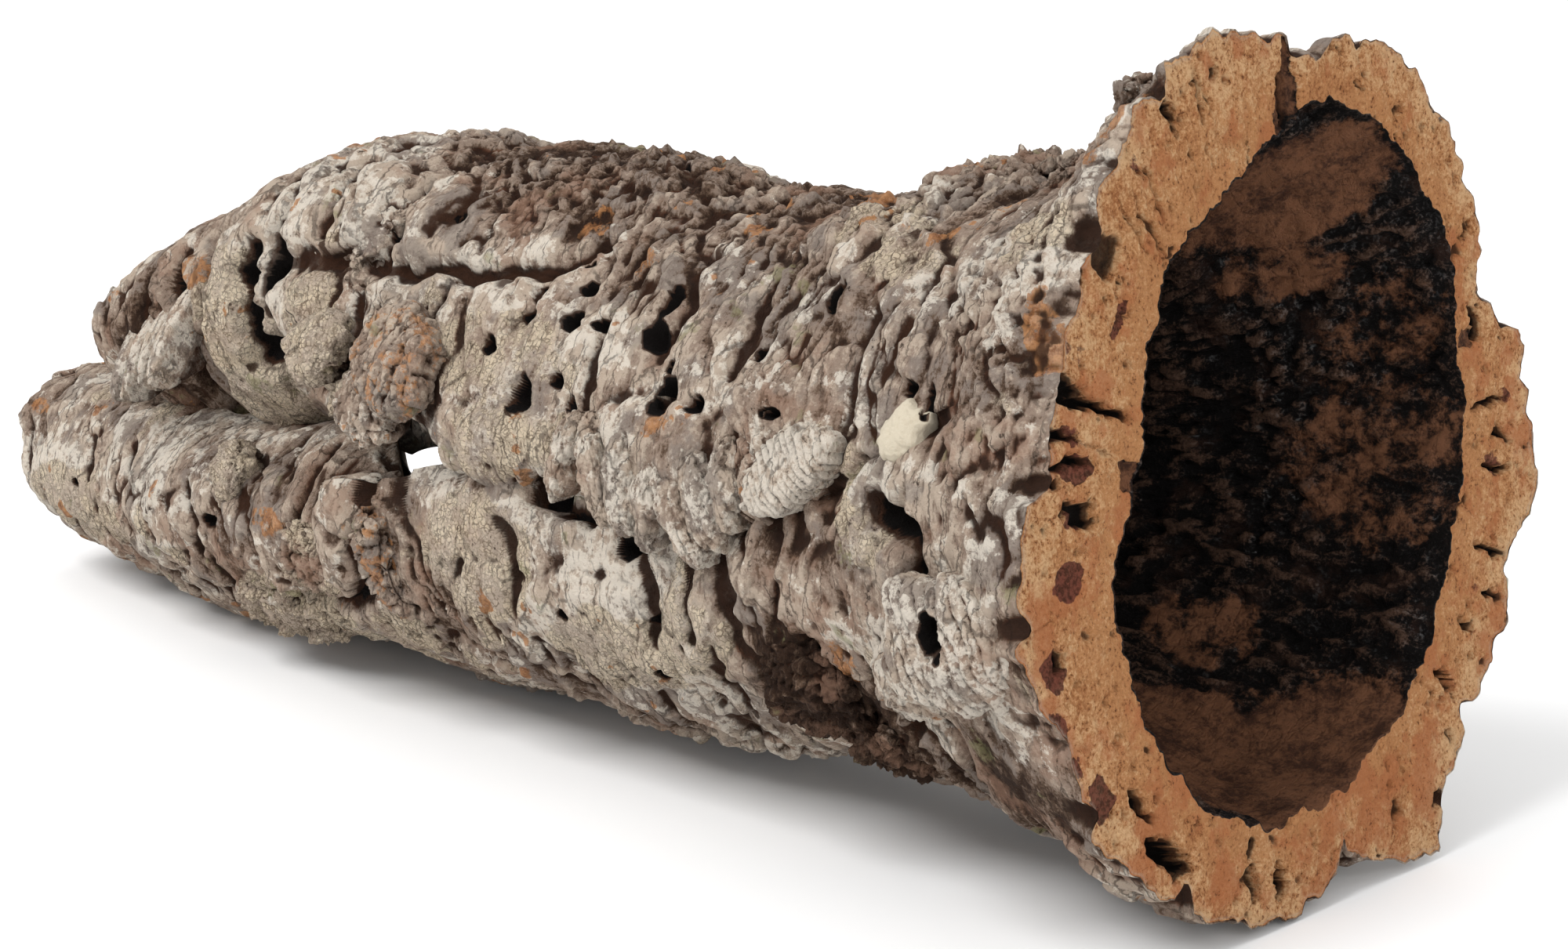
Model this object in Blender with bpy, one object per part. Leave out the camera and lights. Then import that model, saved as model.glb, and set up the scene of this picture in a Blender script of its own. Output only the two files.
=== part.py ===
"""A hollow tube of virgin cork bark, lying on its side, for Blender 4.5.

One closed solid, in metres, +Z up. The tube runs along X, a little nose-up: the wide sawn end faces
+X, and at the narrow end, facing -X, the trunk forks into two hollow limbs, one above the other.
It rests on the floor. A point on it is given by how far back it is from the sawn end, along the
tube's axis, and by the angle around that axis: 0 is the rear (+Y), 90 the top, 180 the front (-Y)
and 270 the underside. Distances in the tables are in mm and angles in degrees.
"""

import math

import bpy
import numpy as np

MM = 0.001

# --- driving dimensions -------------------------------------------------------------------------
AXIS_TILT = math.radians(8.0)  # the wide end lifts the axis off the floor by this angle

# The trunk: four outside radii at each distance back from the sawn end, and the wall there.
TRUNK_AT = (0, 15, 35, 60, 90, 130, 180, 230, 280)
TOP = (84, 64, 58, 59, 53, 58, 67, 74, 66)
FRONT = (78, 75, 70, 65, 62, 60, 57, 52, 46)
UNDER = (84, 80, 73, 66, 61, 61, 55, 49, 44)
REAR = (84, 77, 70, 65, 61, 59, 58, 55, 48)
WALL = (24, 22, 20, 19, 18, 18, 18, 17, 15)

# The sawn end's own outline and its hollow's, as (angle, radius), and how far back each one fades.
RIM = (
    (0, 84), (10, 83), (20, 72), (30, 82), (40, 86), (58, 88), (68, 85), (75, 77), (83, 81), (95, 83),
    (106, 84), (120, 77), (133, 74), (145, 70), (160, 69), (172, 70), (178, 77), (192, 83), (208, 79),
    (220, 86), (240, 83), (258, 85.5), (270, 82), (277, 73), (284, 83), (296, 93), (303, 83), (318, 79),
    (330, 82), (336, 77), (348, 87),
)
HOLLOW = (
    (0, 60), (16, 63), (30, 69), (44, 71), (60, 73), (75, 71), (83, 64), (92, 59), (105, 53), (122, 52),
    (142, 47), (165, 43), (178, 47), (190, 54), (207, 57), (222, 62), (245, 66), (262, 66), (277, 64),
    (290, 61), (304, 61), (315, 58), (330, 57), (345, 58),
)
RIM_FLARE = 40.0
HOLLOW_FLARE = 70.0

# The furrows that lead down the trunk's front and rear to the crotch of the fork.
FURROW_AT = (0, 35, 60, 100, 140, 180, 240, 280)
FRONT_ANGLE = (158, 165, 175, 185, 178, 172, 160, 156)
FRONT_DEPTH = (0, 3, 5, 9, 9, 13, 18, 22)
REAR_ANGLE = (341, 341, 341, 341, 341, 341, 341, 341)
REAR_DEPTH = (0, 0, 1, 3, 5, 9, 15, 20)
FURROW_HALF_WIDTH = (10, 12, 14, 16, 17, 19, 21, 22)
INNER_SHARE = 0.6  # how much of each furrow the hollow's wall follows

# The limbs: two leaning stacks of ovals. Along the lean, which tips the stack's top to the rear, the
# lower limb fills from its foot to the seam and the upper limb from the seam to its crown.
LIMB_LEAN = math.radians(18.0)
LIMB_AT = (170, 210, 240, 270, 300, 337, 383)
CROWN = (60, 71, 73, 68, 59, 42, 34)
SEAM = (-4, 1, 4, 5, 8, 12, 20)
FOOT = (-49, -49, -47, -44.5, -42, -35, -24)
LIMB_HALF_WIDTH = (44, 51, 49, 45, 40, 32, 24)
SEAM_OVERLAP = 1.5
UPPER_SHIFT = -7.0  # each limb's middle, moved toward the rear
LOWER_SHIFT = 1.0
LIMB_WALL = 9.5
UPPER_BACK = (175.0, 333.0)
LOWER_BACK = (175.0, 383.0)
UPPER_END_SLANT = 0.35  # the upper limb's end leans back under its crown

TRUNK_END = 280.0  # the trunk's own outline closes inside the limbs
TRUNK_CLOSES_OVER = 62.0
HOLLOW_END = 222.0
BORE_START = 206.0

# The gap between the limbs: a slanting oval tunnel, in the tube's own frame. Its middle and heading
# are back, across and up.
GAP_MIDDLE = (238, -6, -3)
GAP_HEADING = (0.76, 0.64, -0.12)
GAP_HALF_LENGTH = 120.0
GAP_HALF_WIDTH = 7.5
GAP_HALF_HEIGHT = 4.0


def along(values, at, back):
    """The value at each distance back, on a smooth curve through the stations."""
    at, values = np.asarray(at, float), np.asarray(values, float)
    slope = np.gradient(values, at)
    where = np.clip(back, at[0], at[-1])
    i = np.clip(np.searchsorted(at, where, side="right") - 1, 0, len(at) - 2)
    span = at[i + 1] - at[i]
    t = (where - at[i]) / span
    return (
        values[i] * (2 * t**3 - 3 * t**2 + 1)
        + span * slope[i] * (t**3 - 2 * t**2 + t)
        + values[i + 1] * (3 * t**2 - 2 * t**3)
        + span * slope[i + 1] * (t**3 - t**2)
    )


def around(outline, angle):
    """The radius of a closed outline at each angle."""
    at, radius = np.array(outline, float).T
    return np.interp(angle, at, radius, period=360.0)


def turned(angle, about):
    """The signed angle from about to angle, from -180 to 180 degrees."""
    return (angle - about + 180.0) % 360.0 - 180.0


def grain_angle(back, column_angle):
    """Columns bend with the front furrow, so that it runs down one column."""
    offset = turned(column_angle, 174.375)
    bend = np.where(np.abs(offset) < 90.0, np.cos(np.radians(offset)) ** 2, 0.0)
    return column_angle + bend * (along(FRONT_ANGLE, FURROW_AT, back) - 174.375)


def furrow_depth(back, angle, radius):
    """How deep the two furrows are: each a cusp, like the one between two round limbs."""
    total = np.zeros_like(radius)
    half_width = along(FURROW_HALF_WIDTH, FURROW_AT, back)
    for middle, depth in ((FRONT_ANGLE, FRONT_DEPTH), (REAR_ANGLE, REAR_DEPTH)):
        across = np.radians(turned(angle, along(middle, FURROW_AT, back))) * radius
        near = 1 - np.clip(np.abs(across) / half_width, 0, 1)
        total = total + along(depth, FURROW_AT, back) * (1 - np.sqrt(1 - near**2))
    return total


def plain_radius(back, angle):
    """The trunk's outside before the furrows: four radii, joined by squared sines and cosines."""
    sine, cosine = np.sin(np.radians(angle)), np.cos(np.radians(angle))
    upright = np.where(sine > 0, along(TOP, TRUNK_AT, back), along(UNDER, TRUNK_AT, back))
    level = np.where(cosine > 0, along(REAR, TRUNK_AT, back), along(FRONT, TRUNK_AT, back))
    flare = np.clip(1 - back / RIM_FLARE, 0, 1) ** 4
    return flare * around(RIM, angle) + (1 - flare) * (level * cosine**2 + upright * sine**2)


def trunk_radius(back, angle):
    """The trunk's outside, from the axis. It dwindles inside the limbs."""
    radius = plain_radius(back, angle)
    closed = np.clip(1 - (TRUNK_END - back) / TRUNK_CLOSES_OVER, 0, 1)
    return (radius - furrow_depth(back, angle, radius)) * (1 - 0.6 * closed**1.7)


def hollow_radius(back, angle):
    """The trunk's hollow, from the axis."""
    plain = plain_radius(back, angle)
    deep = plain - along(WALL, TRUNK_AT, back) - INNER_SHARE * furrow_depth(back, angle, plain)
    flare = np.clip(1 - back / HOLLOW_FLARE, 0, 1) ** 1.5
    return flare * around(HOLLOW, angle) + (1 - flare) * deep


def placed(back, across, up):
    """Points in metres, turned from the tube's own frame to the world's, the sawn end at X = 0."""
    nose = (math.cos(AXIS_TILT), math.sin(AXIS_TILT))
    return np.stack([-back * nose[0] - up * nose[1], across, -back * nose[1] + up * nose[0]], -1) * MM


def trunk_rings(radius_of, first, last, rows, columns):
    """The trunk or its hollow as rings of points, closer together near the sawn end."""
    back = (first + (last - first) * np.linspace(0, 1, rows) ** 1.25)[:, None]
    angle = grain_angle(back, np.arange(columns) * 360.0 / columns)
    back = np.broadcast_to(back, angle.shape)
    radius = radius_of(np.clip(back, 0, None), angle)
    return placed(back, radius * np.cos(np.radians(angle)), radius * np.sin(np.radians(angle)))


def limb_rings(upper, inset, first, last, rows, columns, slant=0.0):
    """A limb, or its bore when inset is the wall, as rings of leaning ovals."""
    back = np.linspace(first, last, rows)[:, None]
    seam = along(SEAM, LIMB_AT, back)
    foot = seam - SEAM_OVERLAP if upper else along(FOOT, LIMB_AT, back)
    crown = along(CROWN, LIMB_AT, back) if upper else seam + SEAM_OVERLAP
    middle, half_height = (crown + foot) / 2, (crown - foot) / 2 - inset
    half_width = along(LIMB_HALF_WIDTH, LIMB_AT, back) - inset
    turn = np.arange(columns) * 2 * math.pi / columns
    sideways, lengthways = half_width * np.cos(turn), middle + half_height * np.sin(turn)
    across = sideways * math.cos(LIMB_LEAN) + lengthways * math.sin(LIMB_LEAN)
    up = lengthways * math.cos(LIMB_LEAN) - sideways * math.sin(LIMB_LEAN)
    share = np.linspace(0, 1, rows)[:, None] ** 4
    back = back - slant * share * (lengthways - middle)
    return placed(np.broadcast_to(back, up.shape), across + (UPPER_SHIFT if upper else LOWER_SHIFT), up)


def gap_rings():
    """The gap between the limbs: a long oval post along its heading."""
    heading = placed(*GAP_HEADING)
    heading /= np.linalg.norm(heading)
    level = np.cross((0.0, 0.0, 1.0), heading)
    level /= np.linalg.norm(level)
    upright = np.cross(heading, level)
    turn = np.arange(16)[:, None] * 2 * math.pi / 16
    ring = GAP_HALF_WIDTH * np.cos(turn) * level - GAP_HALF_HEIGHT * np.sin(turn) * upright
    middle = placed(*GAP_MIDDLE)
    return np.stack([middle + (ring + side * GAP_HALF_LENGTH * heading) * MM for side in (-1, 1)])


def loft(name, rings):
    """A closed mesh through the rings, with a flat cap at each end."""
    rows, columns = rings.shape[:2]
    faces = [
        (
            row * columns + (column + 1) % columns,
            row * columns + column,
            (row + 1) * columns + column,
            (row + 1) * columns + (column + 1) % columns,
        )
        for row in range(rows - 1)
        for column in range(columns)
    ]
    last = (rows - 1) * columns
    faces += [tuple(range(columns)), tuple(range(last + columns - 1, last - 1, -1))]
    mesh = bpy.data.meshes.new(name)
    mesh.from_pydata(rings.reshape(-1, 3).tolist(), [], faces)
    mesh.update()
    return mesh


def boolean_with(tube, mesh, operation, collection):
    """Joins a helper solid to the tube, or cuts it away, and keeps the helper out of renders."""
    helper = bpy.data.objects.new(mesh.name, mesh)
    helper.hide_render = True
    helper.display_type = "WIRE"
    collection.objects.link(helper)
    step = tube.modifiers.new(mesh.name, "BOOLEAN")
    step.operation = operation
    step.solver = "EXACT"
    step.object = helper
    return helper


def bark_material():
    """Weathered grey-brown cork."""
    material = bpy.data.materials.new("cork_bark")
    material.use_nodes = True
    shader = material.node_tree.nodes["Principled BSDF"]
    shader.inputs["Base Color"].default_value = (0.30, 0.23, 0.175, 1.0)
    shader.inputs["Roughness"].default_value = 0.9
    shader.inputs["Metallic"].default_value = 0.0
    return material


def stand_at_origin(tube, helpers):
    """Moves all so that the tube's box stands on the floor with its middle over the origin."""
    bpy.context.view_layer.update()
    evaluated = tube.evaluated_get(bpy.context.evaluated_depsgraph_get())
    corners = np.array([evaluated.matrix_world @ vertex.co for vertex in evaluated.data.vertices])
    low, high = corners.min(axis=0), corners.max(axis=0)
    for item in (tube, *helpers):
        item.location = (-(low[0] + high[0]) / 2, -(low[1] + high[1]) / 2, -low[2])


def main():
    """Builds the trunk and its limbs, hollows them, and cuts the gap between the limbs."""
    for old in list(bpy.data.objects):
        bpy.data.objects.remove(old)
    parts = bpy.data.collections.new("cork_bark")
    helpers = bpy.data.collections.new("helpers")
    for collection in (parts, helpers):
        bpy.context.scene.collection.children.link(collection)
    trunk = loft("cork_bark_tube", trunk_rings(trunk_radius, 0.0, TRUNK_END, 24, 64))
    tube = bpy.data.objects.new("cork_bark_tube", trunk)
    tube.data.materials.append(bark_material())
    parts.objects.link(tube)
    upper = limb_rings(True, 0.0, *UPPER_BACK, 10, 32, UPPER_END_SLANT)
    lower = limb_rings(False, 0.0, *LOWER_BACK, 12, 32)
    hollow = trunk_rings(hollow_radius, -4.0, HOLLOW_END, 13, 48)
    upper_bore = limb_rings(True, LIMB_WALL, BORE_START, UPPER_BACK[1] + 14.0, 8, 24)
    lower_bore = limb_rings(False, LIMB_WALL, BORE_START, LOWER_BACK[1] + 6.0, 9, 24)
    steps = (
        ("upper_limb", upper, "UNION"),
        ("lower_limb", lower, "UNION"),
        ("trunk_hollow", hollow, "DIFFERENCE"),
        ("upper_bore", upper_bore, "DIFFERENCE"),
        ("lower_bore", lower_bore, "DIFFERENCE"),
        ("limb_gap", gap_rings(), "DIFFERENCE"),
    )
    made = [boolean_with(tube, loft(name, rings), how, helpers) for name, rings, how in steps]
    stand_at_origin(tube, made)


main()
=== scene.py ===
"""The looks of a hollow tube of virgin cork bark, lying on its side, for Blender 4.5.

The wide sawn end faces +X. At the narrow end, facing -X, the trunk forks into two hollow limbs, one
above the other. A point is given by how far back it is from the sawn end, along the tube's axis, and
by the angle around that axis: 0 is the rear (+Y), 90 the top, 180 the front (-Y) and 270 the
underside. Distances are in mm and angles in degrees until the meshes are made, in metres.
"""

import logging
import math
from dataclasses import dataclass, field
from enum import Enum

import bpy
import numpy as np
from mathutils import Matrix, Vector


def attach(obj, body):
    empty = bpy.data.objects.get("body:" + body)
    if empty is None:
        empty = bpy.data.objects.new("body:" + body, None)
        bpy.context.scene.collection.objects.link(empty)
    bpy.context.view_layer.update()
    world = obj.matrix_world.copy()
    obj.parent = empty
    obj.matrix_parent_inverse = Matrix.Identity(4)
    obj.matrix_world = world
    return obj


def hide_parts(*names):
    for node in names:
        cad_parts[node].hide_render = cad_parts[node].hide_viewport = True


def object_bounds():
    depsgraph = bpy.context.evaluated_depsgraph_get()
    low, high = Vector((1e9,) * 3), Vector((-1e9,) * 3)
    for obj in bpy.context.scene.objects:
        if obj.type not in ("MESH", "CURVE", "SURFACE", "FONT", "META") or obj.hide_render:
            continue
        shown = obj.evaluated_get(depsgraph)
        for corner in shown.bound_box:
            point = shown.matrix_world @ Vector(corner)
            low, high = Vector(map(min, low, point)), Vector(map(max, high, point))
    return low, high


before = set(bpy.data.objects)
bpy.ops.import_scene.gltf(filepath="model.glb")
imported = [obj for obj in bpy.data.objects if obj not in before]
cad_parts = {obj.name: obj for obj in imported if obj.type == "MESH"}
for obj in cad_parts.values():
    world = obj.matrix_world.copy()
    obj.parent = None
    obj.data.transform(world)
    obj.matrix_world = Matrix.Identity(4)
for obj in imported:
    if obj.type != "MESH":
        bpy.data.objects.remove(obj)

LOG = logging.getLogger("cork_bark")
CAD_BOX = [list(map(float, corner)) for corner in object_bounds()]
NODE = "cork_bark_tube"
MM = 0.001
OVERHANG = 0.9  # mm that the steepest edges of the bark lean over what is below them
RELIEF_SPAN = 1.2  # mm above or below the ground around that counts as a full crest or cavity
RELIEF_BLUR = 0.45  # grid steps; takes off the smallest teeth of steep relief
HOLE_BLUR = 0.8  # grid steps, for holes and cracks
CORNERS = ((0, 1), (0, 0), (1, 0), (1, 1))  # a grid quad's corners, as steps down and across
BACKWARD = np.array([1.0, 0.0, 0.0])  # away from the sawn end, in the tube's own frame
CROSSWISE = np.array([0.0, 1.0, 1.0])  # leaves out how far back a point is

Array = np.ndarray
Points = tuple[tuple[float, ...], ...]


# --- smooth random fields -----------------------------------------------------------------------


class Noise:
    """Random fields in space that give the same values on each run."""

    entries = 256  # random slopes and spots to pick from, a power of two
    gain = 1.6  # brings the gradient noise to about -1 to 1
    layer_shift = 31.7  # mm between the places where layers are read

    def __init__(self, seed: int) -> None:
        """Draws the lattice's slopes and the cells' random numbers.

        Args:
            seed: the number that the field's look depends on.
        """
        draw = np.random.default_rng(seed)
        self.order = np.tile(draw.permutation(self.entries), 3).astype(np.int32)
        slopes = draw.normal(size=(self.entries, 3))
        self.slopes = (slopes / np.linalg.norm(slopes, axis=1, keepdims=True)).astype(np.float32)
        self.spots = draw.random((self.entries, 4)).astype(np.float32)

    def pick(self, cell: Array) -> Array:
        """A number from 0 to 255 for each whole-numbered lattice cell, with no visible pattern."""
        x, y, z = (cell[..., axis] & (self.entries - 1) for axis in range(3))
        return self.order[self.order[self.order[x] + y] + z]

    def smooth(self, points: Array, size: float | tuple[float, ...]) -> Array:
        """Gradient noise, about -1 to 1: each lattice corner tilts the field, eased between corners.

        Args:
            points: places in mm, with three numbers on the last axis.
            size: the lattice's pitch in mm, one number or one for each axis.

        Returns:
            The field at each point.
        """
        place = (points / np.asarray(size, np.float32)).astype(np.float32)
        cell = np.floor(place).astype(np.int32)
        part = place - cell
        ease = part**3 * (part * (part * 6 - 15) + 10)
        total = np.zeros(points.shape[:-1], np.float32)
        for corner in np.ndindex(2, 2, 2):
            offset = np.array(corner, np.int32)
            weight = np.prod(np.where(offset == 1, ease, 1 - ease), axis=-1)
            slope = self.slopes[self.pick(cell + offset)]
            total += weight * np.sum(slope * (part - offset), axis=-1)
        return total * self.gain

    def layered(self, points: Array, size: float | tuple, layers: int, share: float = 0.5) -> Array:
        """Gradient noise summed over layers, each half the size and a share of the height."""
        size = np.asarray(size, np.float32)
        parts = (self.smooth(points + self.layer_shift * k, size / 2**k) * share**k for k in range(layers))
        return sum(parts)

    def cells(self, points: Array, size: float | tuple[float, ...]) -> tuple[Array, ...]:
        """Cellular noise: one spot in each lattice cell.

        Args:
            points: places in mm, with three numbers on the last axis.
            size: the lattice's pitch in mm, one number or one for each axis.

        Returns:
            The distances to the nearest and second nearest spots, in pitches, a random number from
            0 to 1 for the nearest spot, and how far along the first axis the point is past it.
        """
        place = (points / np.asarray(size, np.float32)).astype(np.float32)
        cell = np.floor(place).astype(np.int32)
        first = np.full(points.shape[:-1], 9.0, np.float32)
        second, label, lean = first.copy(), np.zeros_like(first), np.zeros_like(first)
        for step in np.ndindex(3, 3, 3):
            near = cell + np.array(step, np.int32) - 1
            spot = self.spots[self.pick(near)]
            offset = place - near - spot[..., :3]
            gap = np.sqrt(np.sum(offset**2, axis=-1))
            closer = gap < first
            second = np.where(closer, first, np.minimum(second, gap))
            label = np.where(closer, spot[..., 3], label)
            lean = np.where(closer, offset[..., 0], lean)
            first = np.where(closer, gap, first)
        return first, second, label, lean


def eased(low: float, high: float, value: Array) -> Array:
    """0 below low and 1 above high, with a smooth step between; low may be the larger."""
    t = np.clip((value - low) / (high - low), 0, 1)
    return t * t * (3 - 2 * t)


def blurred(grid: Array, rows: float, columns: float) -> Array:
    """A grid smoothed by a bell curve: closed around its columns, mirrored past its end rows.

    Args:
        grid: the heights, rows by columns.
        rows: the bell's spread in rows.
        columns: the bell's spread in columns.

    Returns:
        The smoothed heights.
    """
    tall = np.concatenate([grid, grid[::-1]])
    waves = np.fft.rfft2(tall)
    down = np.fft.fftfreq(tall.shape[0])[:, None]
    across = np.fft.rfftfreq(tall.shape[1])[None, :]
    bell = np.exp(-2 * math.pi**2 * ((down * rows) ** 2 + (across * columns) ** 2))
    return np.fft.irfft2(waves * bell, s=tall.shape)[: len(grid)]


# --- the tube's own frame and outline -----------------------------------------------------------


def along(values: tuple[float, ...], at: tuple[float, ...], back: Array) -> Array:
    """The value at each distance back, on a smooth cubic curve through the stations."""
    at, values = np.asarray(at, float), np.asarray(values, float)
    slope = np.gradient(values, at)
    where = np.clip(back, at[0], at[-1])
    i = np.clip(np.searchsorted(at, where, side="right") - 1, 0, len(at) - 2)
    span = at[i + 1] - at[i]
    t = (where - at[i]) / span
    return (
        values[i] * (2 * t**3 - 3 * t**2 + 1)
        + span * slope[i] * (t**3 - 2 * t**2 + t)
        + values[i + 1] * (3 * t**2 - 2 * t**3)
        + span * slope[i + 1] * (t**3 - t**2)
    )


def around(outline: Points, angle: Array) -> Array:
    """The radius of a closed outline at each angle, straight between its points."""
    at, radius = np.array(outline, float).T
    return np.interp(angle, at, radius, period=360.0)


def turned(angle: Array, about: Array | float) -> Array:
    """The signed angle from about to angle, from -180 to 180 degrees."""
    return (angle - about + 180.0) % 360.0 - 180.0


@dataclass(frozen=True)
class Axis:
    """The tube's leaning axis: turns its own frame into the world's."""

    tilt: float = math.radians(8.0)
    high_corner: tuple[float, float, float] = (11.64, 85.15, 81.88)  # the box's, from the rim's centre

    def place(self, own: Array) -> Array:
        """World points in metres.

        Args:
            own: points in mm: back from the sawn end, across to the rear, and up.

        Returns:
            The same points in the world, in metres.
        """
        centre = np.array(CAD_BOX[1]) - np.array(self.high_corner) * MM
        nose = (math.cos(self.tilt), math.sin(self.tilt))
        back, across, up = own[..., 0], own[..., 1], own[..., 2]
        world = np.stack([-back * nose[0] - up * nose[1], across, -back * nose[1] + up * nose[0]], -1)
        world = centre + world * MM
        world[..., 2] = np.maximum(world[..., 2], 0.0)
        return world


@dataclass(frozen=True)
class Outline:
    """The trunk's plain outside and hollow: radii in mm at distances back and angles around."""

    at: tuple[float, ...] = (0, 15, 35, 60, 90, 130, 180, 230, 280)
    top: tuple[float, ...] = (84, 64, 58, 59, 53, 58, 67, 74, 66)
    front: tuple[float, ...] = (78, 75, 70, 65, 62, 60, 57, 52, 46)
    under: tuple[float, ...] = (84, 80, 73, 66, 61, 61, 55, 49, 44)
    rear: tuple[float, ...] = (84, 77, 70, 65, 61, 59, 58, 55, 48)
    wall: tuple[float, ...] = (24, 22, 20, 19, 18, 18, 18, 17, 15)
    rim: Points = (
        (0, 84), (10, 83), (20, 72), (30, 82), (40, 86), (58, 88), (68, 85), (75, 77), (83, 81),
        (95, 83), (106, 84), (120, 77), (133, 74), (145, 70), (160, 69), (172, 70), (178, 77), (192, 83),
        (208, 79), (220, 86), (240, 83), (258, 85.5), (270, 82), (277, 73), (284, 83), (296, 93),
        (303, 83), (318, 79), (330, 82), (336, 77), (348, 87),
    )
    hollow: Points = (
        (0, 60), (16, 63), (30, 69), (44, 71), (60, 73), (75, 71), (83, 64), (92, 59), (105, 53),
        (122, 52), (142, 47), (165, 43), (178, 47), (190, 54), (207, 57), (222, 62), (245, 66), (262, 66),
        (277, 64), (290, 61), (304, 61), (315, 58), (330, 57), (345, 58),
    )
    rim_flare: float = 40.0
    hollow_flare: float = 70.0
    furrow_at: tuple[float, ...] = (0, 35, 60, 100, 140, 180, 240, 280)
    front_angle: tuple[float, ...] = (158, 165, 175, 185, 178, 172, 160, 156)
    front_depth: tuple[float, ...] = (0, 3, 5, 9, 9, 13, 18, 22)
    rear_angle: float = 341.0
    rear_depth: tuple[float, ...] = (0, 0, 1, 3, 5, 9, 15, 20)
    furrow_half_width: tuple[float, ...] = (10, 12, 14, 16, 17, 19, 21, 22)
    inner_share: float = 0.6
    closes_from: float = 218.0
    closes_over: float = 62.0
    closes_by: float = 0.6  # share of the radius lost inside the limbs
    closing_power: float = 1.7
    rim_flare_power: int = 4
    hollow_flare_power: float = 1.5
    furrow_column: float = 174.375

    def seam(self, back: Array) -> Array:
        """The angle of the front furrow."""
        return along(self.front_angle, self.furrow_at, back)

    def grain_angle(self, back: Array, column_angle: Array) -> Array:
        """Angles bent so that the front furrow runs down one column of the grid."""
        offset = turned(column_angle, self.furrow_column)
        bend = np.where(np.abs(offset) < 90.0, np.cos(np.radians(offset)) ** 2, 0.0)
        return column_angle + bend * (self.seam(back) - self.furrow_column)

    def furrow(self, back: Array, angle: Array, radius: Array) -> Array:
        """How deep the two furrows are: each a cusp, like the one between two round limbs."""
        total = np.zeros_like(radius)
        half_width = along(self.furrow_half_width, self.furrow_at, back)
        for middle, depth in ((self.seam(back), self.front_depth), (self.rear_angle, self.rear_depth)):
            across = np.radians(turned(angle, middle)) * radius
            near = 1 - np.clip(np.abs(across) / half_width, 0, 1)
            total = total + along(depth, self.furrow_at, back) * (1 - np.sqrt(1 - near**2))
        return total

    def plain(self, back: Array, angle: Array) -> Array:
        """The outside before the furrows: four radii, joined by squared sines and cosines."""
        sine, cosine = np.sin(np.radians(angle)), np.cos(np.radians(angle))
        upright = np.where(sine > 0, along(self.top, self.at, back), along(self.under, self.at, back))
        level = np.where(cosine > 0, along(self.rear, self.at, back), along(self.front, self.at, back))
        flare = np.clip(1 - back / self.rim_flare, 0, 1) ** self.rim_flare_power
        return flare * around(self.rim, angle) + (1 - flare) * (level * cosine**2 + upright * sine**2)

    def outside(self, back: Array, angle: Array) -> Array:
        """The outside with its furrows. It dwindles inside the limbs."""
        radius = self.plain(back, angle)
        closed = np.clip((back - self.closes_from) / self.closes_over, 0, 1)
        narrowed = 1 - self.closes_by * closed**self.closing_power
        return (radius - self.furrow(back, angle, radius)) * narrowed

    def inside(self, back: Array, angle: Array) -> Array:
        """The hollow's wall."""
        plain = self.plain(back, angle)
        deep = plain - along(self.wall, self.at, back) - self.inner_share * self.furrow(back, angle, plain)
        flare = np.clip(1 - back / self.hollow_flare, 0, 1) ** self.hollow_flare_power
        return flare * around(self.hollow, angle) + (1 - flare) * deep


def from_polar(back: Array, angle: Array, radius: Array) -> Array:
    """Points in the tube's own frame from distance back, angle and radius."""
    turn = np.radians(angle)
    back = np.broadcast_to(back, np.broadcast_shapes(np.shape(angle), np.shape(radius)))
    return np.stack([back, radius * np.cos(turn), radius * np.sin(turn)], -1)


# --- what the weather, the growth and the insects did to the bark ---------------------------------


@dataclass(frozen=True)
class Look:
    """What a stretch of surface is like, one number for each grid point."""

    height: Array  # mm out of the plain surface
    sunk: Array  # mm straight down into holes and cracks, whose walls don't lean
    crust: Array  # pale crackled lichen
    fresh: Array  # broken or sawn cork, orange-tan
    tone: Array  # 0 dark and brown, 1 pale and grey; from -0.5 to 1.1
    # pit: painted shade, how dark insect holes and the deepest cracks are painted
    pit: Array  # insect holes and the deepest cracks


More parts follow.
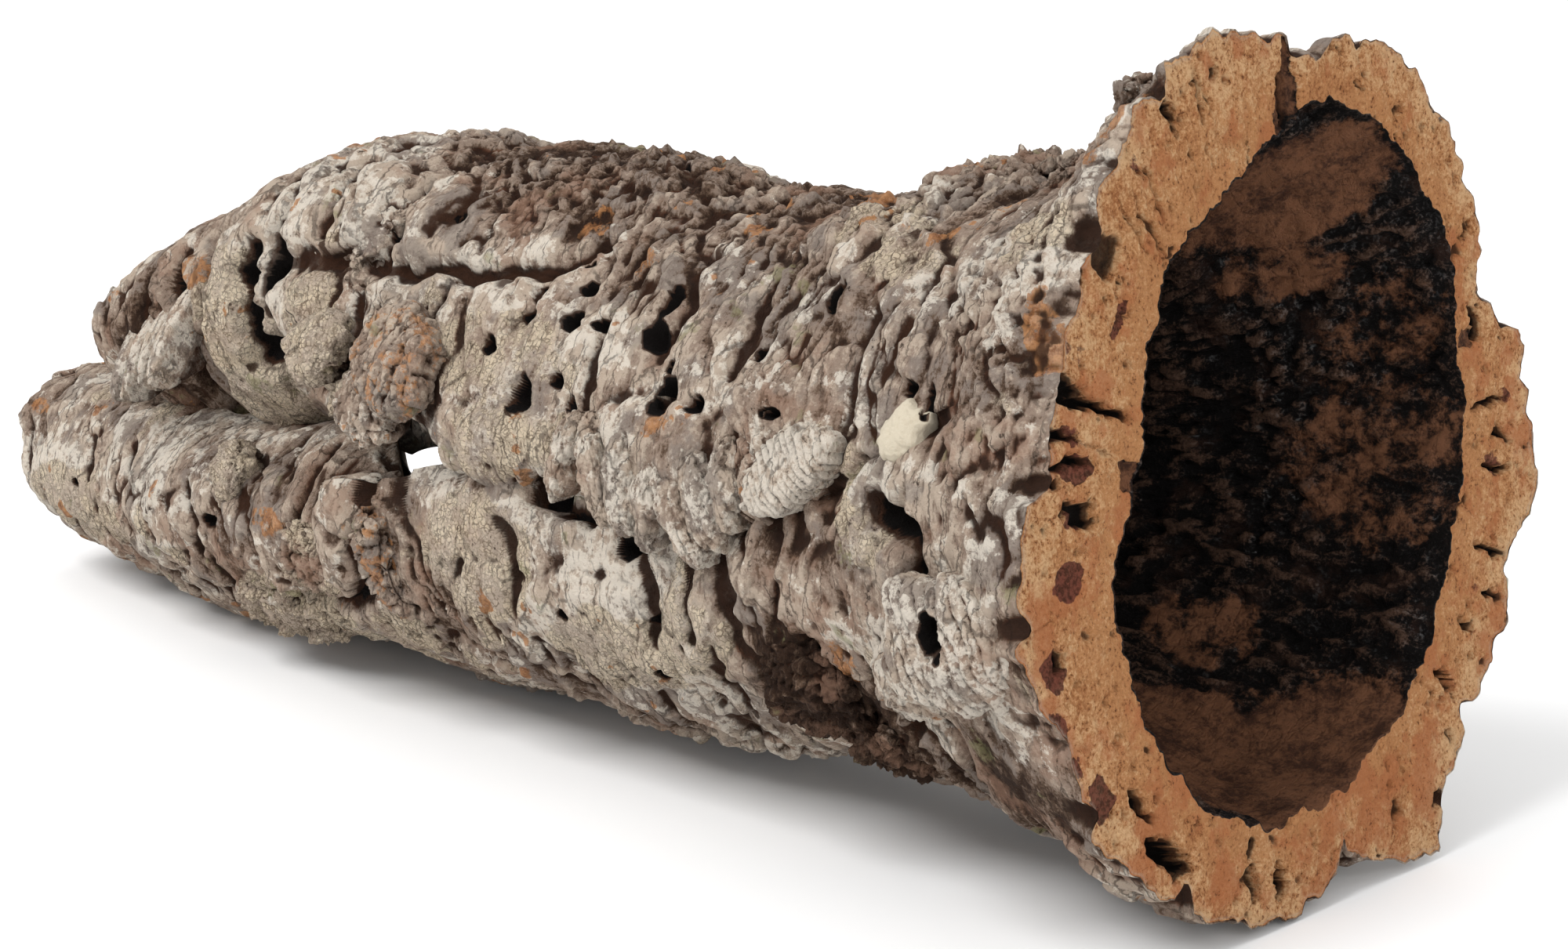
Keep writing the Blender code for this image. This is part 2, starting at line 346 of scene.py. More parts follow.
@dataclass(frozen=True)
class Bark:
    """The bark's relief and colours, as fields over the distance back and the angle around."""

    seed: int = 11
    warp: float = 3.0
    usual_radius: float = 60.0  # mm, which turns drift around the bark into degrees
    plate_pitch: float = 12.0  # mm along the bark from one leaning plate to the next
    burrow_above: float = 0.95  # a spot whose label is above this is a small insect hole
    # Insect holes: back, angle, half size along and around, depth.
    holes: Points = (
        (163, 148, 2.0, 2.0, 7), (150, 158, 2.4, 3.9, 9), (140, 155, 1.6, 1.7, 7),
        (134, 160, 0.9, 1.4, 5), (107, 158, 3.2, 3.9, 8), (108, 152, 1.2, 1.5, 6), (97, 160, 1.9, 1.5, 7),
        (73, 162, 2.2, 1.0, 5), (141, 142, 2.6, 2.5, 7), (141, 134, 2.2, 1.7, 5), (132, 143, 2.6, 1.3, 6),
        (155, 141, 2.0, 1.5, 6), (115, 146, 2.1, 3.2, 5), (115, 137, 1.2, 4.2, 4), (84, 149, 2.4, 1.6, 7),
        (65, 140, 2.2, 2.8, 8), (36, 158, 1.6, 1.2, 6), (30, 160, 0.9, 2.8, 4), (156, 196, 1.5, 1.3, 6),
        (144, 203, 1.4, 1.3, 6), (121, 188, 2.6, 2.6, 7), (348, 190, 2.1, 1.7, 7), (143, 99, 1.7, 1.4, 6),
        (145, 128, 1.3, 1.3, 5), (117, 204, 1.3, 1.3, 5), (121, 215, 1.5, 1.4, 5), (20, 191, 2.0, 3.2, 8),
        (155, 134, 1.0, 1.0, 4), (202, 141, 1.8, 1.6, 6), (320, 205, 1.8, 1.6, 6),
        (274, 192, 2.4, 2.0, 7), (188, 120, 1.4, 1.2, 5), (110, 20, 2.0, 1.8, 7), (134, 48, 1.6, 1.5, 6),
        (82, 350, 2.4, 3.2, 7), (180, 12, 1.7, 1.7, 6), (60, 30, 1.5, 1.5, 5), (228, 30, 1.8, 1.8, 6),
        (160, 310, 2.0, 2.4, 6), (96, 285, 1.6, 1.6, 5), (300, 330, 1.6, 1.6, 5), (40, 352, 1.6, 1.5, 6),
        (134, 336, 1.6, 2.4, 6), (205, 350, 1.4, 1.4, 5), (30, 80, 1.6, 1.4, 5), (250, 300, 1.6, 1.4, 5),
    )
    # Creases and cracks: half width, depth, then the points that each runs through, back and angle.
    creases: tuple[tuple, ...] = (
        (2.4, 4.5, ((250, 129), (227, 131), (205, 133), (186, 133), (172, 132), (156, 128), (140, 120))),
        (3.6, 13.0, ((246, 124), (248, 132), (249, 141), (247, 148))),
        (2.6, 10.0, ((256, 128), (257, 136), (256, 144))),
        (2.8, 8.0, ((203, 112), (205, 122), (206, 130))),
        (1.8, 5.0, ((226, 110), (224, 118), (226, 126))),
        (2.0, 6.0, ((268, 112), (266, 120), (269, 130))),
        (2.8, 8.0, ((278, 118), (276, 132), (279, 146), (276, 156))),
        (2.6, 8.0, ((292, 120), (289, 136), (292, 150))),
        (2.0, 6.0, ((306, 126), (303, 140), (306, 152))),
        (1.6, 4.0, ((182, 134), (182, 140), (184, 146))),
        (3.4, 9.0, ((240, 156), (230, 158), (218, 160))),
        (1.2, 3.5, ((128, 128), (126, 140), (130, 152), (127, 164))),
        (1.1, 3.0, ((112, 126), (110, 138), (113, 150))),
        (1.3, 3.5, ((91, 132), (88, 143), (91, 152))),
        (2.2, 5.0, ((50, 110), (48, 117), (50, 124))),
        (4.2, 10.0, ((39, 177), (34, 180), (33, 184))),
        (2.4, 6.0, ((40, 196), (38, 203), (41, 209))),
        (2.2, 5.0, ((36, 212), (34, 218), (38, 226))),
        (2.0, 5.0, ((70, 204), (69, 209), (73, 216))),
        (2.0, 5.0, ((46, 202), (47, 210), (52, 218))),
        (2.6, 5.5, ((148, 178), (140, 180), (132, 181))),
        (1.5, 3.5, ((118, 186), (116, 196), (119, 206))),
        (1.5, 3.5, ((104, 188), (102, 197), (104, 206))),
        (1.4, 3.0, ((94, 188), (91, 196), (93, 204), (90, 212))),
        (1.6, 3.5, ((160, 184), (158, 194), (161, 204))),
        (2.4, 6.0, ((262, 208), (240, 210), (222, 207), (206, 203))),
        (1.4, 3.0, ((318, 172), (315, 184), (318, 194))),
        (1.2, 2.5, ((342, 168), (340, 178), (342, 188))),
        (2.0, 4.5, ((235, 172), (232, 182), (236, 192))),
        (1.6, 4.0, ((208, 176), (206, 188), (202, 198))),
        (1.8, 4.0, ((284, 182), (282, 192), (286, 204))),
    )
    # Crumbly bark: back, angle, half length, half width around, strength.
    roughs: Points = (
        (150, 97, 80, 24, 1.0), (64, 100, 44, 26, 0.9), (12, 132, 18, 46, 0.9), (14, 92, 16, 34, 1.0),
        (70, 216, 26, 20, 1.0), (60, 234, 26, 16, 0.9), (190, 152, 15, 12, 1.0), (224, 208, 42, 12, 0.7),
        (150, 266, 90, 34, 0.6), (150, 0, 60, 22, 0.4), (40, 330, 30, 32, 0.7), (224, 95, 30, 16, 0.6),
        (10, 168, 9, 20, 0.7), (265, 222, 30, 16, 0.9), (60, 60, 40, 26, 0.7), (95, 120, 30, 14, 0.6),
    )
    # Lobes that stand out: back, angle, half length, half width around, height.
    lobes: Points = (
        (268, 146, 13, 14, 3.5), (228, 141, 10, 12, 3.5), (158, 168, 24, 10, 2.5), (110, 168, 18, 9, 3.0),
        (144, 100, 26, 16, 2.5), (224, 95, 20, 16, 2.0), (78, 119, 12, 12, 2.5), (136, 206, 24, 14, 3.0),
        (168, 206, 12, 14, 3.0), (262, 219, 20, 12, 3.0), (214, 183, 8, 8, 3.0), (360, 190, 18, 20, 1.5),
        (30, 100, 8, 10, 2.5), (18, 142, 10, 12, 1.5), (104, 206, 14, 12, 2.5), (58, 132, 16, 12, 2.5),
        (262, 122, 9, 14, 3.0), (236, 124, 7, 12, 2.5), (216, 120, 7, 12, 2.5), (197, 119, 6, 11, 2.0),
    )
    # Pale crackled crust: back, angle, half length, half width around, strength.
    crusts: Points = (
        (268, 143, 20, 20, 1.0), (226, 142, 12, 14, 0.9), (218, 150, 8, 8, 1.0), (160, 150, 26, 16, 0.55),
        (150, 166, 30, 9, 0.6), (169, 192, 22, 18, 0.8), (134, 212, 22, 14, 0.9), (104, 206, 18, 14, 0.6),
        (356, 200, 26, 22, 1.0), (330, 206, 14, 16, 0.7), (68, 171, 10, 7, 1.0), (24, 196, 14, 12, 0.5),
        (232, 222, 20, 20, 0.6), (120, 40, 40, 30, 0.6), (200, 330, 40, 24, 0.8), (60, 10, 22, 26, 0.5),
    )
    # Tone, added to the random one: back, angle, half length, half width around, lighter or darker.
    tones: Points = (
        (150, 97, 75, 30, -0.42), (60, 100, 40, 30, -0.15), (84, 148, 24, 22, -0.12),
        (140, 160, 34, 20, 0.24), (74, 216, 22, 16, -1.25), (60, 230, 26, 16, -0.35),
        (130, 205, 40, 24, 0.28), (24, 188, 20, 24, -0.08), (20, 222, 22, 14, -0.30),
        (205, 205, 40, 10, -0.25), (260, 232, 18, 12, -0.30), (300, 165, 22, 14, 0.10),
        (205, 165, 22, 12, -0.05), (268, 146, 34, 26, 0.22), (360, 196, 30, 30, 0.25),
        (40, 268, 40, 30, -0.25), (320, 165, 40, 26, 0.14), (230, 120, 40, 26, 0.12),
        (32, 182, 10, 8, -0.35), (150, 190, 50, 22, 0.06), (298, 140, 24, 17, -0.75),
        (62, 158, 10, 12, -0.14), (90, 128, 20, 14, -0.1), (66, 171, 12, 8, 0.3),
    )
    # Smoother, finely lined bark: back, angle, half length, half width around, strength.
    sleeks: Points = (
        (140, 158, 46, 16, 0.9), (140, 198, 44, 18, 0.8), (304, 166, 44, 24, 1.0), (354, 176, 34, 26, 1.0),
        (262, 152, 22, 16, 0.7), (235, 186, 16, 12, 0.8), (26, 190, 16, 18, 0.5),
        (182, 182, 16, 10, 0.8), (18, 214, 22, 12, 0.8), (100, 20, 50, 26, 0.7), (240, 20, 34, 22, 0.7),
        (90, 300, 44, 26, 0.6), (272, 135, 16, 16, 0.6),
    )
    # Bark lined along the tube instead of around it, in the same terms.
    combed: Points = (
        (138, 168, 30, 9, 1.0), (300, 165, 34, 14, 0.8), (348, 172, 26, 16, 0.7), (190, 186, 16, 9, 0.7),
        (160, 20, 40, 20, 0.6),
    )
    # Broken spots where orange cork shows: back, angle, half length, half width around, strength.
    chips: Points = (
        (284, 128, 8, 8, 0.7), (242, 97, 9, 8, 0.6), (202, 196, 5, 9, 0.8), (244, 189, 9, 4, 0.7),
        (150, 118, 4, 4, 0.7), (108, 116, 5, 4, 0.7), (74, 112, 5, 4, 0.7), (128, 128, 4, 6, 0.6),
        (62, 205, 4, 8, 0.6), (40, 208, 5, 4, 0.6), (374, 150, 5, 9, 0.6), (4, 150, 4, 9, 0.7),
        (5, 118, 4, 10, 0.7), (80, 15, 8, 6, 0.6), (190, 345, 8, 6, 0.6), (150, 60, 8, 5, 0.5),
    )

    def offset(self, back: Array, angle: Array, row: tuple[float, ...]) -> Array:
        """How far, in half sizes, each point is from a row's middle, along and around."""
        arc = np.radians(turned(angle, row[1])) * 60.0
        return np.sqrt(((back - row[0]) / row[2]) ** 2 + (arc / row[3]) ** 2)

    def crease_distance(self, back: Array, angle: Array, points: Points) -> Array:
        """How many mm each point is from a line of straight runs over the bark."""
        nearest = np.full(back.shape, 1e3)
        for start, end in zip(points, points[1:]):
            run = np.array([end[0] - start[0], math.radians(end[1] - start[1]) * 60.0])
            own = back - start[0], np.radians(turned(angle, start[1])) * 60.0
            t = np.clip((own[0] * run[0] + own[1] * run[1]) / (run @ run), 0, 1)
            nearest = np.minimum(nearest, np.hypot(own[0] - t * run[0], own[1] - t * run[1]))
        return nearest

    def listed(self, back: Array, angle: Array, rows: Points, start: Array) -> Array:
        """A mask with soft spots where the rows say, each no weaker than what is there already."""
        total = start
        for row in rows:
            total = np.maximum(total, row[4] * eased(1.15, 0.6, self.offset(back, angle, row)))
        return total

    def bored(self, own: Array) -> tuple[Array, Array]:
        """How deep the insect holes are at each point, and how dark they are painted, a painted shade."""
        ragged = 0.5 * Noise(self.seed + 3).layered(own, 3.0, 2)
        angle = np.degrees(np.arctan2(own[..., 2], own[..., 1])) % 360.0
        sunk, pit = np.zeros(angle.shape), np.zeros(angle.shape)
        for hole_back, hole_angle, half_along, half_around, depth in self.holes:
            row = (hole_back, hole_angle, half_along, half_around)
            offset = self.offset(own[..., 0], angle, row) + ragged / min(half_along, half_around)
            sunk = np.maximum(sunk, depth * eased(1.25, 0.45, offset))
            pit = np.maximum(pit, eased(1.35, 1.05, offset))
        return sunk, pit

    def look(self, own: Array) -> Look:
        """The bark's relief and colour masks.

        The height is a sum: broad swell; folds that deepen where gradient noise changes sign;
        plates like leaning saw teeth along the tube; ledges, which are the contour steps of
        layered noise; flakes, the cells of cellular noise, each with its own height and slope;
        gnarls, grit and fine lines; and the lobes listed above. Cut straight into it are fissures,
        along the lines where layered noise is 0, and the creases and holes that are listed.
        Where the bark is sleek, all of it fades to fine lines.

        Args:
            own: points of the plain surface, in the tube's own frame.

        Returns:
            The relief and masks at each point.
        """
        noise, second, third = Noise(self.seed), Noise(self.seed + 1), Noise(self.seed + 2)
        own = own.astype(np.float32)
        drift = np.stack([noise.layered(own + 50 * k, 14.0, 3, 0.45) for k in range(2)]) * self.warp
        back = own[..., 0] + drift[0]
        plain_angle = np.degrees(np.arctan2(own[..., 2], own[..., 1])) % 360.0
        angle = plain_angle + np.degrees(drift[1] / self.usual_radius)
        warped = own + drift[0][..., None] * np.array([1.0, 0.5, -0.5], np.float32)

        rough = self.listed(back, angle, self.roughs, 0.2 * eased(0.0, 0.5, third.layered(own, 30.0, 2)))
        sleek = self.listed(back, angle, self.sleeks, 0.5 * eased(0.1, 0.5, second.layered(own, 40.0, 2)))
        rough = rough * (1 - 0.7 * sleek)
        wild = 1 - 0.8 * sleek
        swell = third.smooth(own, 46.0) * 2.4 + second.smooth(own, 24.0) * 1.3
        crease = np.minimum(np.abs(noise.smooth(warped, (22, 46, 46))) * 3.0, 1.0) ** 0.7
        folds = (crease - 0.8) * 2.6 * (1 - 0.75 * sleek)
        phase = back + 8.0 * noise.smooth(own, 34.0) + 3.0 * second.layered(own, 10.0, 3)
        phase = phase / self.plate_pitch
        tooth = phase - np.floor(phase)
        leaning = np.where(tooth < 0.92, tooth / 0.92, (1 - tooth) / 0.08) - 0.5
        plates = leaning * 2.2 * eased(-0.1, 0.4, second.smooth(own, 26.0)) * (1 - 0.7 * sleek)
        level = second.layered(warped, (20.0, 38.0, 38.0), 3, 0.4) * 2.2 + 40.0
        part = level - np.floor(level)
        ledges = (eased(0.0, 0.10, part) - part) * 1.6 * (0.2 + 0.8 * wild)

        split = np.abs(third.layered(warped, (8.0, 30.0, 30.0), 3, 0.5))
        gate = eased(0.0, 0.4, second.layered(own - 70.0, 16.0, 2))
        fissures = eased(0.16, 0.04, split) * gate * (1 - 0.6 * sleek)
        near, next_near, label, lean = noise.cells(warped, (3.6, 5.6, 5.6))
        flakes = (label - 0.5 + lean * 1.1) * rough
        flakes = flakes - 0.9 * (1 - eased(0.0, 0.16, next_near - near)) * rough
        burrow = eased(0.34, 0.18, near) * (label > self.burrow_above)
        gnarls = ((1 - np.abs(noise.layered(warped, (6.0, 8.0, 8.0), 3))) ** 3 - 0.45) * 2.2 * rough**1.5
        grit = noise.layered(own, 3.0, 3, 0.7) * (0.14 + 0.5 * rough + 0.16 * wild)
        hoops = second.smooth(own, (2.2, 16.0, 16.0)) * 0.26 + noise.smooth(own, (3.4, 26.0, 26.0)) * 0.3
        combed = self.listed(back, angle, self.combed, np.zeros_like(back))
        combing = second.layered(own, (26.0, 1.9, 1.9), 2) * 0.45
        lines = (hoops * (1 - combed) + combing * combed) * (0.35 + 0.65 * sleek)

        height = swell + folds + plates + ledges + flakes + gnarls + grit
        for row in self.lobes:
            height = height + row[4] * np.sqrt(np.clip(1 - self.offset(back, angle, row) ** 2, 0, 1))
        slit = np.zeros_like(height)
        wander = 1 + 0.5 * third.smooth(own, 7.0)
        for half_width, depth, points in self.creases:
            near_line = self.crease_distance(back, angle, points) / wander
            slit = np.maximum(slit, depth * (1 - eased(half_width * 0.3, half_width + 1.2, near_line)))
        sunk = np.maximum(slit, 1.7 * fissures) + 1.8 * burrow
        # how dark the finish paints the deepest cracks, fissures and burrows: painted shade
        pit = np.maximum(eased(2.0, 6.0, slit) * 0.95, fissures * 0.62) + 0.5 * burrow
        bored, hole_shade = self.bored(own)
        sunk, pit = np.maximum(sunk, bored), np.maximum(pit, hole_shade)
        height = height + lines * (1 - eased(0.1, 1.0, sunk))

        crust = eased(0.3, 0.8, noise.layered(own + 7.0, 24.0, 3) + 0.1) * 0.6
        crust = self.listed(back, angle, self.crusts, crust)
        tone = 0.5 + 0.36 * noise.layered(own - 12.0, 24.0, 4, 0.6)
        for row in self.tones:
            tone = tone + row[4] * eased(1.3, 0.5, self.offset(back, angle, row))
        chips = eased(0.42, 0.75, second.layered(own + 90.0, 9.0, 3, 0.6)) * eased(0.4, 2.0, height)
        chips = self.listed(back, angle, self.chips, chips * 0.7)
        crust = crust * eased(0.05, 0.4, tone)
        return Look(height, sunk, np.clip(crust, 0, 1), chips, np.clip(tone, -0.5, 1.1), np.clip(pit, 0, 1))


# --- grids of points and the meshes they make ------------------------------------------------------


@dataclass
class Patch:
    """A stretch of surface as a grid of points, closed around its columns, with its masks."""

    own: Array
    masks: dict[str, Array] = field(default_factory=dict)

    def stretch(self, first: int, last: int) -> "Patch":
        """The rows from first to last, both included."""
        return Patch(self.own[first : last + 1], {k: v[first : last + 1] for k, v in self.masks.items()})

    def flipped(self) -> "Patch":
        """The rows in reverse."""
        return Patch(self.own[::-1], {k: v[::-1] for k, v in self.masks.items()})

    @classmethod
    def joined(cls, patches: list["Patch"]) -> "Patch":
        """One grid from several, row after row."""
        names = {name for patch in patches for name in patch.masks}
        masks = {
            name: np.concatenate([p.masks.get(name, np.zeros(p.own.shape[:2])) for p in patches])
            for name in names
        }
        return cls(np.concatenate([patch.own for patch in patches]), masks)


def web(first: Array, last: Array, rows: int) -> Patch:
    """Hidden rows straight from one ring of points to the next, without the rings themselves."""
    share = np.linspace(0, 1, rows + 2)[1:-1, None, None]
    own = first * (1 - share) + last * share
    return Patch(own, {"hollow": np.ones(own.shape[:2])})


def outward(own: Array) -> Array:
    """Unit directions out of a grid: across its columns' steps and its rows' steps."""
    around_step = np.roll(own, -1, axis=1) - np.roll(own, 1, axis=1)
    down_step = np.gradient(own, axis=0)
    normal = np.cross(around_step, down_step)
    return normal / np.maximum(np.linalg.norm(normal, axis=-1, keepdims=True), 1e-9)


def steps(own: Array) -> tuple[Array, Array]:
    """How many mm each grid step is, down the rows and around the columns."""
    down = np.linalg.norm(np.gradient(own, axis=0), axis=-1)
    across = np.linalg.norm(np.roll(own, -1, axis=1) - own, axis=-1)
    return np.maximum(down, 1e-3), np.maximum(across, 1e-3)


def raised(own: Array, look: Look, hold: Array | float = 1.0) -> Patch:
    """A grid pushed out by its relief, with rolled-over edges.

    Each point moves out along the surface by its height. Where it stands above the ground around
    it, it also moves downhill, so that steep edges lean over what is below them. The relief is
    blurred by less than a grid step first. A point's cavity is how far it lies below the ground
    around it, and its crest how far above.

    Args:
        own: the plain surface's grid, in mm.
        look: its relief and masks.
        hold: 1 where edges may lean over, and 0 where points only move straight out.

    Returns:
        The raised grid with its masks.
    """
    height = look.height
    down, across = steps(own)
    pitch_down, pitch_across = float(np.median(down)), float(np.median(across))
    whole = blurred(height, RELIEF_BLUR, RELIEF_BLUR) - blurred(look.sunk, HOLE_BLUR, HOLE_BLUR)
    wide = blurred(whole, 4.5 / pitch_down, 4.5 / pitch_across)
    near = blurred(whole, 1.5 / pitch_down, 1.5 / pitch_across)
    fine = blurred(height, 1.3 / pitch_down, 1.3 / pitch_across)
    slope_down = np.gradient(fine, axis=0) / down
    slope_around = (np.roll(fine, -1, axis=1) - np.roll(fine, 1, axis=1)) / (2 * across)
    unit_down = np.gradient(own, axis=0) / down[..., None]
    unit_around = (np.roll(own, -1, axis=1) - own) / across[..., None]
    solid = 1 - eased(0.02, 0.6, blurred(look.sunk, 1.2 / pitch_down, 1.2 / pitch_across))
    above = eased(-0.6, 1.4, height - wide) * hold * OVERHANG * solid
    lean = unit_down * np.tanh(slope_down)[..., None] + unit_around * np.tanh(slope_around)[..., None]
    moved = own + outward(own) * whole[..., None] - lean * above[..., None]
    # the finish paints cavities darker, as painted shade, and crests lighter, as a painted highlight
    cavity = np.clip((wide - whole) / 2.6 + (near - whole) / 1.3, 0, 1)
    crest = np.clip((whole - wide) / 2.2 + (whole - near) / 1.2, 0, 1)
    masks = {"crust": look.crust, "fresh": look.fresh, "tone": look.tone, "pit": look.pit}
    return Patch(moved, {**masks, "cavity": cavity, "crest": crest})


def hills(relief: Array, rows: float, columns: float) -> dict[str, Array]:
    """The crest and cavity masks, painted as highlight and shade: how far each point is above or below the
    ground around it.
    """
    low = relief - blurred(relief, rows, columns)
    return {"crest": np.clip(low / RELIEF_SPAN, 0, 1), "cavity": np.clip(-low / RELIEF_SPAN, 0, 1)}


def grid_faces(rows: int, columns: int, bands: int, heights: Array) -> tuple[Array, Array]:
    """The quads of a grid that closes around its columns.

    Args:
        rows: the grid's rows.
        columns: its columns.
        bands: how many bands of quads it has: as many as its rows if the last joins the first.
        heights: each row's height on the flat texture map.

    Returns:
        The quads as rows of vertex numbers, and their corners' places on the map.
    """
    row, column = np.meshgrid(np.arange(bands), np.arange(columns), indexing="ij")
    quads = np.stack([(row + r) % rows * columns + (column + c) % columns for r, c in CORNERS], -1)
    flat = np.stack([np.stack([(column + c) / columns, heights[row + r]], -1) for r, c in CORNERS], 2)
    return quads.reshape(-1, 4), flat.reshape(-1, 4, 2)


def cut(points: Array, quads: Array, flat: Array) -> tuple[Array, Array]:
    """Each quad as two triangles along its shorter diagonal, which keeps steep walls smooth.

    Args:
        points: the vertices.
        quads: the quads, as rows of vertex numbers.
        flat: the corners' places on the flat texture map.

    Returns:
        The triangles, and their corners' places on the map.
    """
    first = np.linalg.norm(points[quads[:, 0]] - points[quads[:, 2]], axis=1)
    other = np.linalg.norm(points[quads[:, 1]] - points[quads[:, 3]], axis=1)
    picks = np.where((first <= other)[:, None], [[0, 1, 2, 0, 2, 3]], [[0, 1, 3, 1, 2, 3]])
    own = np.arange(len(quads))[:, None]
    return quads[own, picks].reshape(-1, 3), flat[own, picks].reshape(-1, 3, 2)


def make_piece(
    name: str, points: Array, faces: list[Array], flat: list[Array], masks: dict[str, Array]
) -> bpy.types.Object:
    """A new object from arrays.

    Args:
        name: the new object's name.
        points: the vertices, in metres.
        faces: arrays of faces, each of triangles or of quads, as rows of vertex numbers.
        flat: for each array of faces, the corners' places on the flat texture map.
        masks: for each mask, its value at each vertex.

    Returns:
        The object, smooth shaded, with its faces turned outwards.
    """
    centred = points - points.mean(axis=0)
    signed = sum(
        float(np.einsum("ij,ij->", centred[f[:, 0]], np.cross(centred[f[:, k]], centred[f[:, k + 1]])))
        for f in faces for k in range(1, f.shape[1] - 1)
    )
    if signed < 0:
        faces, flat = [f[:, ::-1] for f in faces], [corner[:, ::-1] for corner in flat]
    cuts = [cut(points, f, corner) if f.shape[1] == 4 else (f, corner) for f, corner in zip(faces, flat)]
    faces, flat = [triangles for triangles, _ in cuts], [corner for _, corner in cuts]
    mesh = bpy.data.meshes.new(name)
    mesh.vertices.add(len(points))
    mesh.vertices.foreach_set("co", points.astype(np.float32).ravel())
    corners = np.concatenate([f.ravel() for f in faces]).astype(np.int32)
    mesh.loops.add(len(corners))
    mesh.loops.foreach_set("vertex_index", corners)
    sizes = np.concatenate([np.full(len(f), f.shape[1]) for f in faces])
    mesh.polygons.add(len(sizes))
    mesh.polygons.foreach_set("loop_start", (np.cumsum(sizes) - sizes).astype(np.int32))
    uv = np.concatenate([corner.reshape(-1, 2) for corner in flat]).astype(np.float32)
    mesh.uv_layers.new(name="OFBake").data.foreach_set("uv", uv.ravel())
    for mask, values in masks.items():
        layer = mesh.attributes.new(mask, "FLOAT", "POINT")
        layer.data.foreach_set("value", np.ascontiguousarray(values, dtype=np.float32).ravel())
    mesh.update()
    mesh.shade_smooth()
    piece = bpy.data.objects.new(name, mesh)
    bpy.context.scene.collection.objects.link(piece)
    return piece


def ring_piece(stretches: list[Patch], name: str, axis: Axis) -> bpy.types.Object:
    """A closed ring-shaped piece from grids whose last row joins the first one's first.

    Each grid's first and last rows are sharp edges, so that light doesn't smear round them.

    Args:
        stretches: the grids with their masks, down the outside and back up the inside.
        name: the new object's name.
        axis: the tube's axis, which places the points.

    Returns:
        The new object, its texture map laid out like the grid.
    """
    patch = Patch.joined(stretches)
    rows, columns = patch.own.shape[:2]
    length = np.linalg.norm(np.roll(patch.own, -1, axis=0) - patch.own, axis=-1).mean(axis=1)
    reach = np.concatenate([[0.0], np.cumsum(length)]) / length.sum()
    quads, flat = grid_faces(rows, columns, rows, reach)
    points = axis.place(patch.own).reshape(-1, 3)
    piece = make_piece(name, points, [quads], [flat], patch.masks)
    ends = np.cumsum([len(stretch.own) for stretch in stretches])
    edged = np.zeros(rows, bool)
    edged[ends - 1] = edged[ends[:-1]] = edged[0] = True
    pairs = np.zeros(2 * len(piece.data.edges), np.int32)
    piece.data.edges.foreach_get("vertices", pairs)
    first, last = pairs.reshape(-1, 2).T // columns
    piece.data.edges.foreach_set("use_edge_sharp", (first == last) & edged[first])
    return piece


def capped_piece(patch: Patch, name: str, axis: Axis) -> bpy.types.Object:
    """A closed piece from a grid whose first and last rows each close on a middle point.

    Args:
        patch: the grid with its masks; rows run from the top round the edge to the bottom.
        name: the new object's name.
        axis: the tube's axis, which places the points.

    Returns:
        The new object, its texture map laid out like the grid.
    """
    rows, columns = patch.own.shape[:2]
    quads, flat = grid_faces(rows, columns, rows - 1, (np.arange(rows) + 1) / (rows + 1))
    ring = np.arange(columns)
    after = (ring + 1) % columns
    top, bottom = rows * columns, rows * columns + 1
    last = (rows - 1) * columns
    first_fan = np.stack([np.full(columns, top), ring, after], -1)
    last_fan = np.stack([np.full(columns, bottom), last + after, last + ring], -1)
    level = np.zeros(columns)
    edge = [np.stack([(ring + 0.5) / columns, level], -1)]
    edge += [np.stack([(ring + c) / columns, level + 1 / (rows + 1)], -1) for c in (0, 1)]
    first_flat = np.stack(edge, 1)
    last_flat = 1 - first_flat
    masks = {k: np.concatenate([v.ravel(), [v[0].mean(), v[-1].mean()]]) for k, v in patch.masks.items()}
    middles = [patch.own[0].mean(axis=0), patch.own[-1].mean(axis=0)]
    points = axis.place(np.concatenate([patch.own.reshape(-1, 3), middles]))
    return make_piece(name, points, [quads, first_fan, last_fan], [flat, first_flat, last_flat], masks)


def dress(piece: bpy.types.Object, material: bpy.types.Material) -> None:
    """Gives a piece its material, ties it to the root body and hides the tube's CAD part."""
    piece.data.materials.clear()
    piece.data.materials.append(material)
    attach(piece, "root")
    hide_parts(NODE)
    LOG.info("%s: %d faces", piece.name, len(piece.data.polygons))


# --- the trunk and the limbs ----------------------------------------------------------------------


